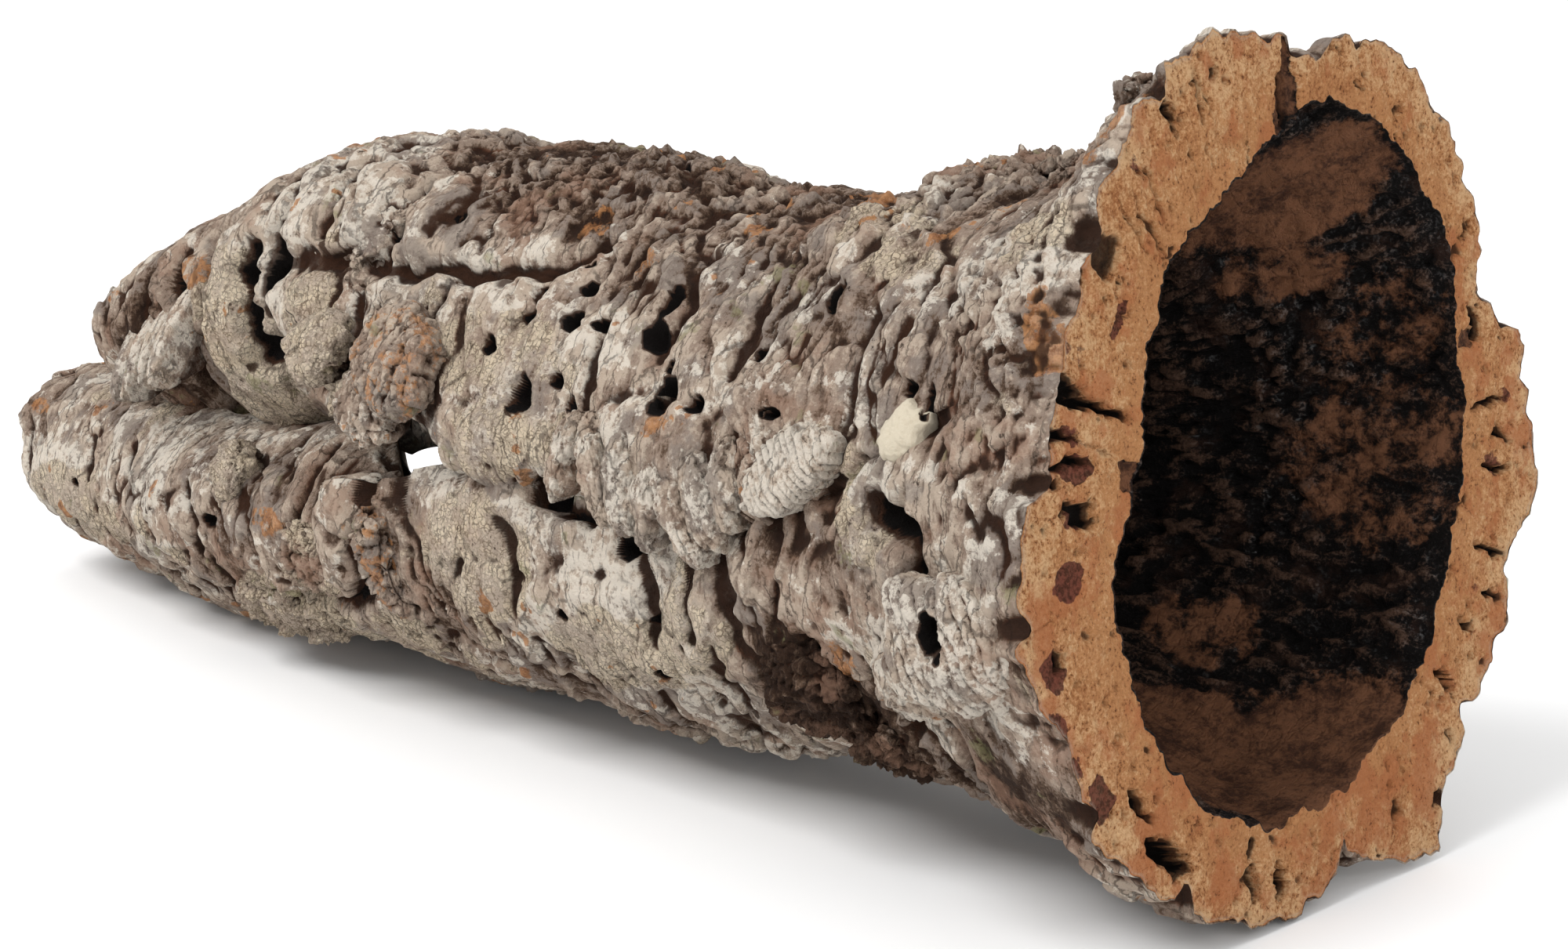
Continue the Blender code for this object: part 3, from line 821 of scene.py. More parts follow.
@dataclass
class Trunk:
    """The trunk: bark outside, the sawn face, the hollow's dark wall, and a lip at the fork."""

    outline: Outline
    bark: Bark
    axis: Axis
    columns: int = 640
    pitch: float = 0.62
    outer_end: float = 238.0
    inner_end: float = 222.0
    notch: float = 62.0  # how far the end line is cut back at the front furrow
    notch_angle: float = 172.0
    notch_half_angle: float = 15.0
    face_rows: int = 34
    lip_rows: int = 8
    lip_depth: float = 4.0
    outer_seed: int = 33
    inner_seed: int = 21
    face_seed: int = 31
    # The trunk's four meshes, as shares of its length, and the rows of each one's wall in the hollow.
    cuts: tuple[float, ...] = (0.0, 0.19, 0.48, 0.77, 1.0)
    inner_rows: tuple[int, ...] = (36, 30, 24, 20)
    # Brown earthy wall in the hollow: back, angle, half length, half width around, strength.
    earth: Points = (
        (22, 54, 24, 16, 0.8), (30, 36, 14, 10, 0.55), (12, 281, 26, 30, 1.0), (36, 276, 26, 20, 1.0),
        (46, 309, 16, 12, 0.5), (16, 352, 24, 24, 0.5), (14, 20, 16, 12, 0.45),
    )
    # Wall that hangs in strings.
    strings: Points = (
        (16, 322, 30, 26, 1.0), (10, 350, 16, 20, 0.8), (60, 300, 40, 24, 0.7), (12, 38, 14, 10, 0.7),
    )
    # Pits and slots in the sawn face: angle, radius, half size outward and around, depth.
    pits: Points = (
        (110, 74, 3.4, 1.5, 7), (99, 77, 1.0, 1.2, 2), (135, 66, 3.2, 4.2, 2.2), (141, 71, 2.0, 2.4, 3.5),
        (159, 62, 13.0, 0.9, 5), (157, 67, 5.0, 1.6, 5), (165, 66, 5.0, 0.8, 3), (169, 64, 6.0, 0.9, 3),
        (176, 62, 5.0, 0.8, 3), (172, 67, 1.1, 1.1, 4), (178, 60, 3.6, 1.4, 3), (82, 69, 9.0, 0.9, 4),
        (313, 69, 4.4, 1.0, 7), (324, 69, 3.0, 0.9, 6), (255, 77, 3.0, 1.1, 7), (261, 76, 3.4, 1.2, 7),
        (235, 77, 2.4, 6.5, 8), (226, 73, 1.2, 4.0, 4), (308, 77, 2.0, 0.8, 4), (345, 61, 0.8, 1.2, 2),
        (351, 72, 5.0, 0.9, 3), (356, 74, 4.0, 0.8, 3), (2, 70, 6.0, 0.7, 2.5), (338, 72, 6.0, 0.8, 3),
        (120, 64, 7.0, 0.6, 1.6), (124, 60, 8.0, 0.6, 1.6), (127, 64, 6.0, 0.5, 1.4),
        (103, 74, 5.0, 0.6, 2), (300, 84, 2.0, 2.0, 3), (64, 77, 0.8, 0.8, 2), (48, 80, 1.0, 0.8, 2),
        (30, 76, 4.0, 0.6, 2), (197, 73, 1.4, 1.2, 3), (16, 70, 1.5, 3.0, 3), (331, 76, 4.0, 0.7, 3),
        (291, 76, 1.2, 1.6, 2),
    )
    # Reddish brown woody inclusions in the sawn face, in the same terms; the last is the strength.
    stains: Points = (
        (141, 57, 1.4, 4.0, 0.9), (170, 61, 5.5, 2.4, 1.0), (187, 66, 4.5, 3.6, 1.0),
        (198, 75, 3.4, 4.2, 1.0), (205, 79, 2.4, 4.0, 0.9), (210, 80, 2.0, 4.0, 0.9),
        (218, 78, 3.4, 4.4, 1.0), (165, 64, 6.0, 2.0, 0.6), (178, 62, 4.0, 2.0, 0.7),
        (352, 70, 5.0, 3.0, 0.6), (120, 72, 4.0, 1.6, 0.5), (2, 74, 5.0, 2.4, 0.5),
        (332, 70, 3.0, 4.0, 0.35), (152, 66, 4.0, 2.4, 0.5),
    )
    # Where the hollow's dark skin runs up into the face, in the same terms.
    burnt: Points = (
        (81, 66, 9.0, 4.0, 1.0), (82, 75, 8.0, 1.6, 1.0), (171, 46, 3.0, 3.0, 1.0), (14, 66, 3.0, 2.0, 0.8),
    )

    def end_line(self, angle: Array, end: float) -> Array:
        """How far back the trunk ends: a level line with a notch at the front furrow."""
        return end - self.notch * np.exp(-(turned(angle, self.notch_angle) / self.notch_half_angle) ** 2)

    def lines(self, share: Array, end: float) -> tuple[Array, Array]:
        """Each grid point's distance back and angle, for shares of the trunk's length."""
        column_angle = np.arange(self.columns) * 360.0 / self.columns
        back = share * self.end_line(column_angle, end)
        return back, self.outline.grain_angle(back, np.broadcast_to(column_angle, back.shape))

    def outer(self) -> Patch:
        """The bark, from the sawn end to the fork; its sawn edge is nicked."""
        share = np.linspace(0, 1, int(self.outer_end / self.pitch))[:, None]
        back, angle = self.lines(share, self.outer_end)
        own = from_polar(back, angle, self.outline.outside(back, angle))
        look = self.bark.look(own)
        noise = Noise(self.outer_seed)
        ring = own[:1] * CROSSWISE
        nicks = noise.layered(ring, 8.0, 4, 0.65) * 2.0 - 3.0 * eased(0.3, 0.55, noise.smooth(ring, 9.0))
        calm = eased(-2, 9, back)
        rim_mean = float(look.height[:6].mean())
        height = (look.height - rim_mean * (1 - calm)) * (0.25 + 0.75 * calm) + nicks * eased(9, 0, back)
        sunk = look.sunk * eased(0, 5, back)
        look = Look(height, sunk, look.crust, look.fresh, look.tone, look.pit)
        return raised(own, look, eased(1, 10, back))

    def inner(self) -> Patch:
        """The hollow's wall, from the sawn end to the fork: charred lumps, strings and earth."""
        stretches = zip(self.cuts, self.cuts[1:], self.inner_rows)
        shares = [np.linspace(first, last, count + 1)[:-1] for first, last, count in stretches]
        back, angle = self.lines(np.concatenate([*shares, [1.0]])[:, None], self.inner_end)
        own = from_polar(back, angle, self.outline.inside(back, angle))
        noise, second = Noise(self.inner_seed), Noise(self.inner_seed + 1)
        twist = own + 3.0 * noise.smooth(own, 12.0)[..., None]
        earth = self.bark.listed(back + 5 * noise.smooth(own, 12.0), angle, self.earth, np.zeros_like(angle))
        stringy = eased(0.2, 0.8, self.bark.listed(back, angle, self.strings, 0.25 * np.ones_like(angle)))
        near, next_near, label, _ = second.cells(twist, (3.8, 3.6, 3.6))
        lumps = (0.7 - near) * 1.6 + (label - 0.5) * 1.8 - (1 - eased(0.0, 0.2, next_near - near))
        strings = ((1 - np.abs(noise.smooth(twist, (22.0, 4.5, 4.5)))) ** 2 - 0.5) * 2.6
        ridges = (1 - np.abs(second.smooth(twist, (11.0, 2.4, 2.4)))) ** 2 - 0.5
        rough = lumps * (1 - stringy) + (strings + ridges) * (0.35 + 0.65 * stringy)
        crumbs = noise.layered(own, 3.4, 3, 0.7)
        swell = noise.layered(own, 30.0, 2) * 2.0
        relief = rough * (1 - 0.85 * earth) + crumbs * (1 - 0.6 * earth) + swell
        relief = relief * (0.12 + 0.88 * eased(0, 7, back))
        jag = noise.layered(own * CROSSWISE, 9.0, 4, 0.65) * 1.9 * eased(9, 0, back)
        moved = own - outward(own) * (relief + jag)[..., None]
        return Patch(moved, {"hollow": np.ones_like(relief), "earth": earth, **hills(relief, 4.0, 6.0)})

    @staticmethod
    def spotted(across: Array, up: Array, rows: Points, edge: float, core: float) -> Array:
        """The face's listed spots.

        Args:
            across: how far each point is to the rear of the axis.
            up: how far it is above the axis.
            rows: the spots: angle, radius, half size outward and around, and depth or strength.
            edge: where a spot ends, in half sizes.
            core: where it reaches its full strength, in half sizes.

        Returns:
            The strongest spot's depth or strength at each point.
        """
        total = np.zeros_like(up)
        for angle, radius, half_radial, half_around, strength in rows:
            turn = math.radians(angle)
            out = (across * math.cos(turn) + up * math.sin(turn) - radius) / half_radial
            side = (up * math.cos(turn) - across * math.sin(turn)) / half_around
            total = np.maximum(total, strength * eased(edge, core, np.hypot(out, side)))
        return total

    def face(self, outer_edge: Array, inner_edge: Array) -> Patch:
        """The sawn face between the hollow's edge and the bark's edge.

        It is flat but for fine saw marks, with pits, slots and radial cracks sunk into it.

        Args:
            outer_edge: the bark's sawn edge, a ring of points.
            inner_edge: the hollow's sawn edge, a ring of points.

        Returns:
            The rows between the edges, from the inner to the outer.
        """
        share = np.linspace(0, 1, self.face_rows + 2)[1:-1, None]
        own = inner_edge * (1 - share[..., None]) + outer_edge * share[..., None]
        noise, second = Noise(self.face_seed), Noise(self.face_seed + 1)
        across, up = own[..., 1], own[..., 2]
        across = across + 1.3 * noise.layered(own, 5.0, 4, 0.65)
        up = up + 1.3 * second.layered(own, 5.0, 4, 0.65)
        sunk = self.spotted(across, up, self.pits, 1.25, 0.75)
        stain = self.spotted(across, up, self.stains, 1.2, 0.7)
        burnt = self.spotted(across, up, self.burnt, 1.2, 0.8)
        near, _, label, _ = noise.cells(own * np.array([0.1, 1.0, 1.0]), 3.6)
        pits = eased(0.34, 0.16, near) * (label > 0.80)
        turn = np.degrees(np.arctan2(up, across))
        fan = np.stack([turn * 1.25, np.broadcast_to(share * 22, turn.shape), np.zeros_like(turn)], -1)
        cracks = eased(0.07, 0.0, np.abs(noise.smooth(fan, (7.0, 26.0, 1.0))))
        cracks = cracks * eased(0.05, 0.4, second.smooth(own, 11.0))
        cracks = cracks * eased(0.0, 0.25, np.abs(second.smooth(own, 5.0)))
        saw = noise.layered(own, 2.2, 2, 0.8) * 0.3 + 0.3 * np.abs(second.layered(own, 7.0, 3))
        inside = np.sin(math.pi * share) ** 0.35
        depth = (pits * 1.2 + cracks * 1.6 + sunk + stain * 0.5 + burnt * 1.5) * inside + saw
        masks = {
            "fresh": np.ones_like(depth), "sawn": np.ones_like(depth), "stain": stain,
            "hollow": burnt, "earth": burnt * 0.75, "edge": np.broadcast_to(share, depth.shape),
            # painted shade: pits and cracks in the face are painted dark
            "pit": np.clip(pits * 0.45 + cracks * 0.75 + sunk / 3.0, 0, 1),
        }
        return Patch(own + BACKWARD * depth[..., None], masks)

    def lip(self, outer_edge: Array, inner_edge: Array) -> Patch:
        """The rounded end at the fork, inside the limbs."""
        turn = np.linspace(0, math.pi, self.lip_rows + 2)[1:-1, None, None]
        middle, half = (outer_edge + inner_edge) / 2, (outer_edge - inner_edge) / 2
        own = middle + half * np.cos(turn) + BACKWARD * self.lip_depth * np.sin(turn)
        return Patch(own, {"hollow": np.ones(own.shape[:2])})

    def build(self, material: bpy.types.Material) -> None:
        """Makes the trunk as rings, one behind the other, which share their end rows."""
        outer, inner = self.outer(), self.inner()
        outer.own[0, :, 0] = 0.0
        inner.own[0, :, 0] = 0.0
        outer_cuts = [round(share * (len(outer.own) - 1)) for share in self.cuts]
        inner_cuts = np.cumsum([0, *self.inner_rows])
        last = len(self.inner_rows)
        for i in range(last):
            skin = outer.stretch(outer_cuts[i], outer_cuts[i + 1])
            wall = inner.stretch(inner_cuts[i], inner_cuts[i + 1])
            near = web(wall.own[0], skin.own[0], 2) if i else self.face(skin.own[0], wall.own[0])
            ends = skin.own[-1], wall.own[-1]
            far = web(*ends, 2) if i < last - 1 else self.lip(*ends)
            dress(ring_piece([skin, far, wall.flipped(), near], f"bark_trunk_{i + 1}", self.axis), material)


class Level(Enum):
    """Which of the two limbs."""

    UPPER = "upper_limb"
    LOWER = "lower_limb"


@dataclass
class Limb:
    """A hollow limb: a leaning oval tube that starts inside the trunk's wall and ends broken off."""

    level: Level
    bark: Bark
    axis: Axis
    lean: float = math.radians(18.0)
    at: tuple[float, ...] = (170, 210, 240, 270, 300, 337, 383)
    crown: tuple[float, ...] = (60, 71, 73, 68, 59, 42, 34)
    seam: tuple[float, ...] = (-4, 1, 4, 5, 8, 12, 20)
    foot: tuple[float, ...] = (-49, -49, -47, -44.5, -42, -35, -24)
    half_width: tuple[float, ...] = (44, 51, 49, 45, 40, 32, 24)
    seam_overlap: float = 1.5
    wall: float = 9.5
    front_start: float = 172.0
    rear_start: float = 206.0
    columns: int = 300
    pitch: float = 0.76
    bore_rows: int = 40
    lip_rows: int = 12
    ragged_ring: float = 20.0  # mm, radius of the ring that the ragged end is read along
    end_seed: int = 41
    bore_seed: int = 51
    torn_seed: int = 61
    gap_middle: tuple[float, float, float] = (238, -6, -3)
    gap_heading: tuple[float, float, float] = (0.76, 0.64, -0.12)
    gap_half_width: float = 8.0
    gap_half_height: float = 4.4

    @property
    def shift(self) -> float:
        """How far the limb's middle is moved toward the rear."""
        return -7.0 if self.level is Level.UPPER else 1.0

    @property
    def end(self) -> float:
        """How far back the limb ends."""
        return 331.0 if self.level is Level.UPPER else 381.0

    @property
    def slant(self) -> float:
        """How many mm farther forward the end is for each mm above the limb's middle."""
        return 0.35 if self.level is Level.UPPER else 0.0

    def grid(self, inset: float, shares: Array) -> Array:
        """A leaning oval tube as a grid: one closed oval for each share of its length."""
        turn = np.arange(self.columns) * 2 * math.pi / self.columns
        start = self.rear_start + (self.front_start - self.rear_start) * eased(0.1, -0.7, np.cos(turn))
        ragged = Noise(self.end_seed + (self.level is Level.LOWER))
        ring = np.stack([np.cos(turn), np.sin(turn), np.zeros_like(turn)], -1) * self.ragged_ring
        end = self.end + 3.0 * ragged.layered(ring, 9.0, 3)
        back = start + (end - start) * shares[:, None]
        seam = along(self.seam, self.at, back)
        upper = self.level is Level.UPPER
        foot = seam - self.seam_overlap if upper else along(self.foot, self.at, back)
        crown = along(self.crown, self.at, back) if upper else seam + self.seam_overlap
        middle, half_height = (crown + foot) / 2, (crown - foot) / 2 - inset
        half_width = along(self.half_width, self.at, back) - inset
        sideways, lengthways = half_width * np.cos(turn), middle + half_height * np.sin(turn)
        across = sideways * math.cos(self.lean) + lengthways * math.sin(self.lean)
        up = lengthways * math.cos(self.lean) - sideways * math.sin(self.lean)
        back = back - self.slant * shares[:, None] ** 4 * (lengthways - middle)
        return np.stack([back, across + self.shift, up], -1)

    def clear_gap(self, own: Array) -> Array:
        """Points moved out of the long oval gap that runs between the limbs."""
        heading = np.array(self.gap_heading) / np.linalg.norm(self.gap_heading)
        level = np.cross((0.0, 0.0, 1.0), heading)
        level = level / np.linalg.norm(level)
        upright = np.cross(heading, level)
        offset = own - np.array(self.gap_middle, float)
        wide, high = offset @ level, offset @ upright
        reach = self.gap_half_height * np.sqrt(np.clip(1 - (wide / self.gap_half_width) ** 2, 0, 1))
        if self.level is Level.UPPER:
            move = np.maximum(reach - high, 0)
        else:
            move = np.minimum(-reach - high, 0)
        return own + upright * (move * (reach > 0))[..., None]

    def build(self, material: bpy.types.Material) -> None:
        """Makes the limb's mesh and dresses it."""
        rows = int((self.end - self.front_start) / self.pitch)
        own = self.grid(0.0, np.linspace(0, 1, rows))
        outer = raised(own, self.bark.look(own))
        bore_own = self.grid(self.wall, np.linspace(1, 0, self.bore_rows))
        noise = Noise(self.bore_seed)
        relief = noise.layered(bore_own, 12.0, 3) * 1.8 + 0.8 * noise.smooth(bore_own, (20.0, 4.0, 4.0))
        bore = Patch(bore_own + outward(bore_own) * relief[..., None], {"hollow": np.ones(relief.shape)})
        far = self.broken(outer.own[-1], bore.own[0])
        near = web(bore.own[-1], outer.own[0], 4)
        stretches = [Patch(self.clear_gap(part.own), part.masks) for part in (outer, far, bore, near)]
        dress(ring_piece(stretches, self.level.value, self.axis), material)

    def broken(self, outer_edge: Array, inner_edge: Array) -> Patch:
        """The broken end: a ring of torn cork between the bark's edge and the bore's."""
        own = web(outer_edge, inner_edge, self.lip_rows).own
        share = np.linspace(0, 1, self.lip_rows + 2)[1:-1, None]
        noise = Noise(self.torn_seed)
        torn = (noise.layered(own, 5.0, 3) * 2.0 + 1.5) * np.sin(math.pi * share)
        own = own + BACKWARD * torn[..., None]
        # painted shade: the dips of the torn end darken as cavities
        masks = {"fresh": eased(1.0, 0.35, share) * np.ones_like(torn), "cavity": np.clip(-torn, 0, 1)}
        return Patch(own, {**masks, "hollow": eased(0.45, 1.0, share) * np.ones_like(torn)})


# --- knobs, nodules and flaps that grew out of the bark ---------------------------------------------


@dataclass(frozen=True)
class Growth:
    """A knob, nodule or flap: a closed form that is rooted in the bark and hangs over its own foot."""

    name: str
    back: float
    angle: float
    radius: float
    half_length: float
    half_width: float
    height: float
    turn: float = 0.0  # degrees, of its length away from the tube's axis
    lift: float = 0.35  # the widest part's height, as a share of the whole height
    sink: float = 7.0
    tuck: float = 0.3  # how far the foot draws in, as a share of the half sizes
    squareness: float = 2.4
    ripple: float = 0.0
    ripple_pitch: float = 3.0
    rough: float = 1.0
    crust: float = 0.0
    fresh: float = 0.0
    tone: float = 0.5
    cream: float = 0.0
    seed: int = 71

    def build(self, axis: Axis, bark: Bark, material: bpy.types.Material) -> None:
        """Makes the growth's mesh and dresses it.

        A point's slope angle runs from 0 at the top to a half turn at the foot. Its distance out
        is the slope's sine and its height the slope's cosine, both raised to a power that squares
        the form, and below the widest part the outline draws in. The outline wanders with noise.

        Args:
            axis: the tube's axis, which places the points.
            bark: the bark, whose insect holes run through the growth too.
            material: the bark's material.
        """
        noise, second = Noise(self.seed), Noise(self.seed + 1)
        scale = max(self.half_length, self.half_width)
        rows, columns = int(np.clip(scale * 6, 26, 80)), int(np.clip(scale * 14, 48, 220))
        slope = np.linspace(0, math.pi, rows + 2)[1:-1, None]
        turn = np.arange(columns) * 2 * math.pi / columns
        out = np.sin(slope) ** (2 / self.squareness)
        rise = np.sign(np.cos(slope)) * np.abs(np.cos(slope)) ** (2 / self.squareness)
        edge = self.lift * self.height
        rise = np.where(rise > 0, edge + rise * (self.height - edge), edge + rise * (edge + self.sink))
        out = out * (1 - self.tuck * eased(math.pi / 2, math.pi * 0.8, slope))
        ring = np.stack([np.cos(turn), np.sin(turn), np.zeros_like(turn)], -1) * scale
        wander = 1 + 0.22 * noise.layered(ring, scale * 0.9, 3, 0.6)
        x = self.half_length * out * wander * np.cos(turn)
        y = self.half_width * out * wander * np.sin(turn)
        lean = math.radians(self.turn)
        back = self.back + x * math.cos(lean) - y * math.sin(lean)
        arc = x * math.sin(lean) + y * math.cos(lean)
        own = from_polar(back, self.angle + np.degrees(arc / self.radius), self.radius + rise)
        near, next_near, label, _ = second.cells(own, 3.6)
        chips = (label - 0.5) * 0.6 - 0.6 * (1 - eased(0.0, 0.16, next_near - near))
        swell = np.abs(noise.layered(own, 9.0, 3, 0.4)) ** 0.7 * 2.0 - 0.8
        relief = (chips + swell + noise.layered(own, 2.6, 3, 0.7) * 0.6) * self.rough
        wave = (x + 1.6 * noise.smooth(own, 7.0)) / self.ripple_pitch
        ripples = self.ripple * (np.abs(np.sin(math.pi * wave)) ** 0.6 - 0.6)
        relief = relief + ripples * eased(-0.6, 0.2, np.cos(slope))
        relief = relief * eased(0, 0.3, np.minimum(slope, math.pi - slope))
        bored, hole_shade = bark.bored(own)
        upper = eased(-0.1, 0.3, np.cos(slope))
        normal = outward(own)
        normal = normal * np.sign(np.sum(normal * (own - own.mean(axis=(0, 1))), axis=-1).mean())
        moved = own + normal * (relief - np.minimum(bored, 0.8 * self.height) * upper)[..., None]
        shares = {"crust": self.crust, "fresh": self.fresh, "tone": self.tone, "cream": self.cream}
        masks = {name: np.full(relief.shape, float(share)) for name, share in shares.items()}
        masks.update(hills(relief, 3.0, 4.0))
        # painted shade: the underside, below the widest part, darkened like a cavity
        masks["cavity"] = masks["cavity"] + 0.6 * eased(0.0, -0.5, np.cos(slope))
        masks["pit"] = hole_shade * upper
        dress(capped_piece(Patch(moved, masks), self.name, axis), material)


GROWTHS = (
    Growth("rippled_lobe", 21, 194, 75, 15, 13, 8.0, turn=14, ripple=1.1, ripple_pitch=2.6, rough=0.35,
           tone=0.72, tuck=0.4, sink=9, seed=72),
    Growth("rippled_lobe_tip", 38, 203, 70, 7, 8, 6.5, turn=40, ripple=0.9, rough=0.6, tone=0.7,
           fresh=0.15, seed=74),
    Growth("tan_stub", 187, 152, 60, 12, 11, 9.5, turn=-25, rough=0.8, ripple=1.2, ripple_pitch=3.6,
           fresh=0.5, crust=0.3, tone=0.55, tuck=0.4, sink=9, squareness=2.8, seed=76),
    Growth("tan_stub_tip", 200, 162, 55, 9, 6.5, 8.5, turn=-30, rough=0.8, ripple=1.0, ripple_pitch=3.0,
           fresh=0.4, tone=0.6, seed=78),
    Growth("cream_nodule", 35, 165, 66, 6.4, 4.6, 4.6, turn=40, rough=0.25, cream=1.0, tone=0.9, seed=80),
    Growth("white_plate", 66, 171, 62, 13, 6.5, 6.5, turn=30, ripple=1.0, ripple_pitch=1.8, rough=0.3,
           tone=1.0, squareness=3.2, seed=82),
    Growth("grey_knob", 76, 160, 60, 10, 8, 5.0, turn=20, ripple=0.6, ripple_pitch=2.4, rough=0.5,
           tone=0.62, seed=84),
    Growth("crusty_nodule", 218, 149, 59, 9, 8, 7.0, turn=20, rough=0.7, crust=1.0, tone=0.75, seed=86),
    Growth("crusty_nodule_foot", 211, 158, 52, 6, 6, 5.5, rough=0.9, crust=1.0, tone=0.7, seed=88),
    Growth("dark_lump", 76, 214, 62, 12, 12, 6.0, rough=1.6, tone=-0.35, seed=90),
    Growth("dark_lump_low", 66, 228, 64, 10, 9, 4.5, rough=1.6, tone=-0.25, seed=91),
    Growth("belly_lump", 256, 219, 46, 18, 13, 7.0, turn=10, rough=1.5, crust=0.7, tone=0.45, sink=10,
           seed=92),
    Growth("lower_flap", 263, 178, 44, 8, 5, 6.0, turn=60, rough=0.8, crust=0.8, tone=0.7, squareness=3,
           seed=94),
    Growth("side_lump", 230, 197, 52, 11, 9, 6.0, rough=1.4, crust=0.5, tone=0.45, seed=96),
    Growth("torn_ridge", 202, 196, 54, 4, 12, 6.0, turn=8, rough=1.4, fresh=0.5, tone=0.5, squareness=3,
           seed=98),
    Growth("ridge_plate", 210, 122, 63, 4.0, 11, 5.0, turn=-14, rough=0.9, tone=0.5, fresh=0.2,
           squareness=3, seed=126),
    Growth("crest_horn", 13, 103, 70, 5, 4.5, 9.0, turn=20, rough=1.4, tone=0.4, seed=104),
    Growth("crest_lump", 27, 100, 60, 8, 9, 5.5, rough=1.8, tone=0.4, seed=106),
    Growth("crest_lump_back", 48, 96, 58, 7, 8, 4.5, rough=1.8, tone=0.35, seed=108),
)


def end_plates() -> list[Growth]:
    """The stacked plates near the upper limb's end, with deep gaps between them."""
    places = ((284, 138, 49), (293, 139, 46), (302, 140, 43), (311, 141, 40))
    return [
        Growth(
            f"end_plate_{i + 1}", back, angle, radius, 2.6, 14 - i, 8.0, turn=-4 + 2 * i, lift=0.7,
            rough=0.25, tone=0.75, crust=0.35, fresh=0.3, squareness=3.4, seed=140 + 2 * i,
        )
        for i, (back, angle, radius) in enumerate(places)
    ]


def seam_flaps() -> list[Growth]:
    """The thin flaps that hang side by side from the upper lobe over the front seam."""
    places = ((131, 170), (122, 172), (114, 175), (107, 179), (99, 180), (92, 177), (85, 174))
    return [
        Growth(
            f"seam_flap_{i + 1}", back, angle, 58.5, 2.9 + 0.5 * (i % 3), 9.0 + (i * 5 % 3), 8.0,
            turn=(i * 37 % 50) - 20, rough=0.5, ripple=0.5, ripple_pitch=2.0, tone=0.7, crust=0.25,
            squareness=2.8, seed=110 + 2 * i,
        )
        for i, (back, angle) in enumerate(places)
    ]


# --- the finish -----------------------------------------------------------------------------------


def linear(*colour: float) -> tuple[float, float, float, float]:
    """A colour given by its usual 0 to 255 values, as the linear light that shaders take."""
    parts = [c / 255 for c in colour]
    lit = [c / 12.92 if c <= 0.04045 else ((c + 0.055) / 1.055) ** 2.4 for c in parts]
    return (*lit, 1.0)


class Wire:
    """A shader value that Python's operators work on, each adding a Math node."""

    def __init__(self, nodes: "Nodes", socket: bpy.types.NodeSocket) -> None:
        """Wraps one output socket of a node."""
        self.nodes, self.socket = nodes, socket

    def math(self, operation: str, *values: "Wire | float") -> "Wire":
        """A Math node on the values."""
        return self.nodes.add("ShaderNodeMath", {"operation": operation}, dict(enumerate(values)))

    def __add__(self, other: "Wire | float") -> "Wire":
        """self + other."""
        return self.math("ADD", self, other)

    __radd__ = __add__

    def __sub__(self, other: "Wire | float") -> "Wire":
        """self - other."""
        return self.math("SUBTRACT", self, other)

    def __rsub__(self, other: float) -> "Wire":
        """other - self."""
        return self.math("SUBTRACT", other, self)

    def __mul__(self, other: "Wire | float") -> "Wire":
        """self * other."""
        return self.math("MULTIPLY", self, other)

    __rmul__ = __mul__

    def step(self, low: float, high: float) -> "Wire":
        """0 below low and 1 above high, with a smooth step between; low may be the larger."""
        rising = low < high
        values = {"Value": self, "From Min": min(low, high), "From Max": max(low, high)}
        values.update({"To Min": 0.0 if rising else 1.0, "To Max": 1.0 if rising else 0.0})
        return self.nodes.add("ShaderNodeMapRange", {"interpolation_type": "SMOOTHSTEP"}, values)


class Nodes:
    """Adds nodes to one material."""

    def __init__(self, material: bpy.types.Material) -> None:
        """Starts on the material's own node tree."""
        self.tree = material.node_tree

    def add(self, kind: str, settings: dict, values: dict, output: int | str = 0) -> Wire:
        """One node.

        Args:
            kind: the node's type.
            settings: its properties, which are set before its sockets.
            values: what goes into each socket, by name or place: a wire, a number or a vector.
            output: the output that is passed on.

        Returns:
            The output, as a wire.
        """
        node = self.tree.nodes.new(kind)
        for name, value in settings.items():
            setattr(node, name, value)
        for key, value in values.items():
            if isinstance(value, Wire):
                self.tree.links.new(value.socket, node.inputs[key])
            else:
                node.inputs[key].default_value = value
        return Wire(self, node.outputs[output])

    def mask(self, name: str) -> Wire:
        """A number that the mesh carries at each point."""
        settings = {"attribute_type": "GEOMETRY", "attribute_name": name}
        return self.add("ShaderNodeAttribute", settings, {}, "Fac")

    def stretched(self, place: Wire, scale: tuple[float, float, float]) -> Wire:
        """The place, scaled along each axis."""
        return self.add("ShaderNodeVectorMath", {"operation": "MULTIPLY"}, {0: place, 1: scale})

    def noise(self, place: Wire, size: float, detail: float = 4.0, roughness: float = 0.6) -> Wire:
        """Cloudy noise around 0.5, on places in mm."""
        values = {"Vector": place, "Scale": 1 / size, "Detail": detail, "Roughness": roughness}
        return self.add("ShaderNodeTexNoise", {"noise_dimensions": "3D"}, values, 0)

    def cracks(self, place: Wire, size: float) -> Wire:
        """The distance to the nearest border between cells, on places in mm."""
        values = {"Vector": place, "Scale": 1 / size}
        return self.add("ShaderNodeTexVoronoi", {"feature": "DISTANCE_TO_EDGE"}, values, 0)

    def mix(self, share: Wire | float, first: Wire | tuple, last: Wire | tuple) -> Wire:
        """One colour turning into another."""
        settings = {"data_type": "RGBA", "clamp_factor": True}
        return self.add("ShaderNodeMix", settings, {0: share, 6: first, 7: last}, 2)


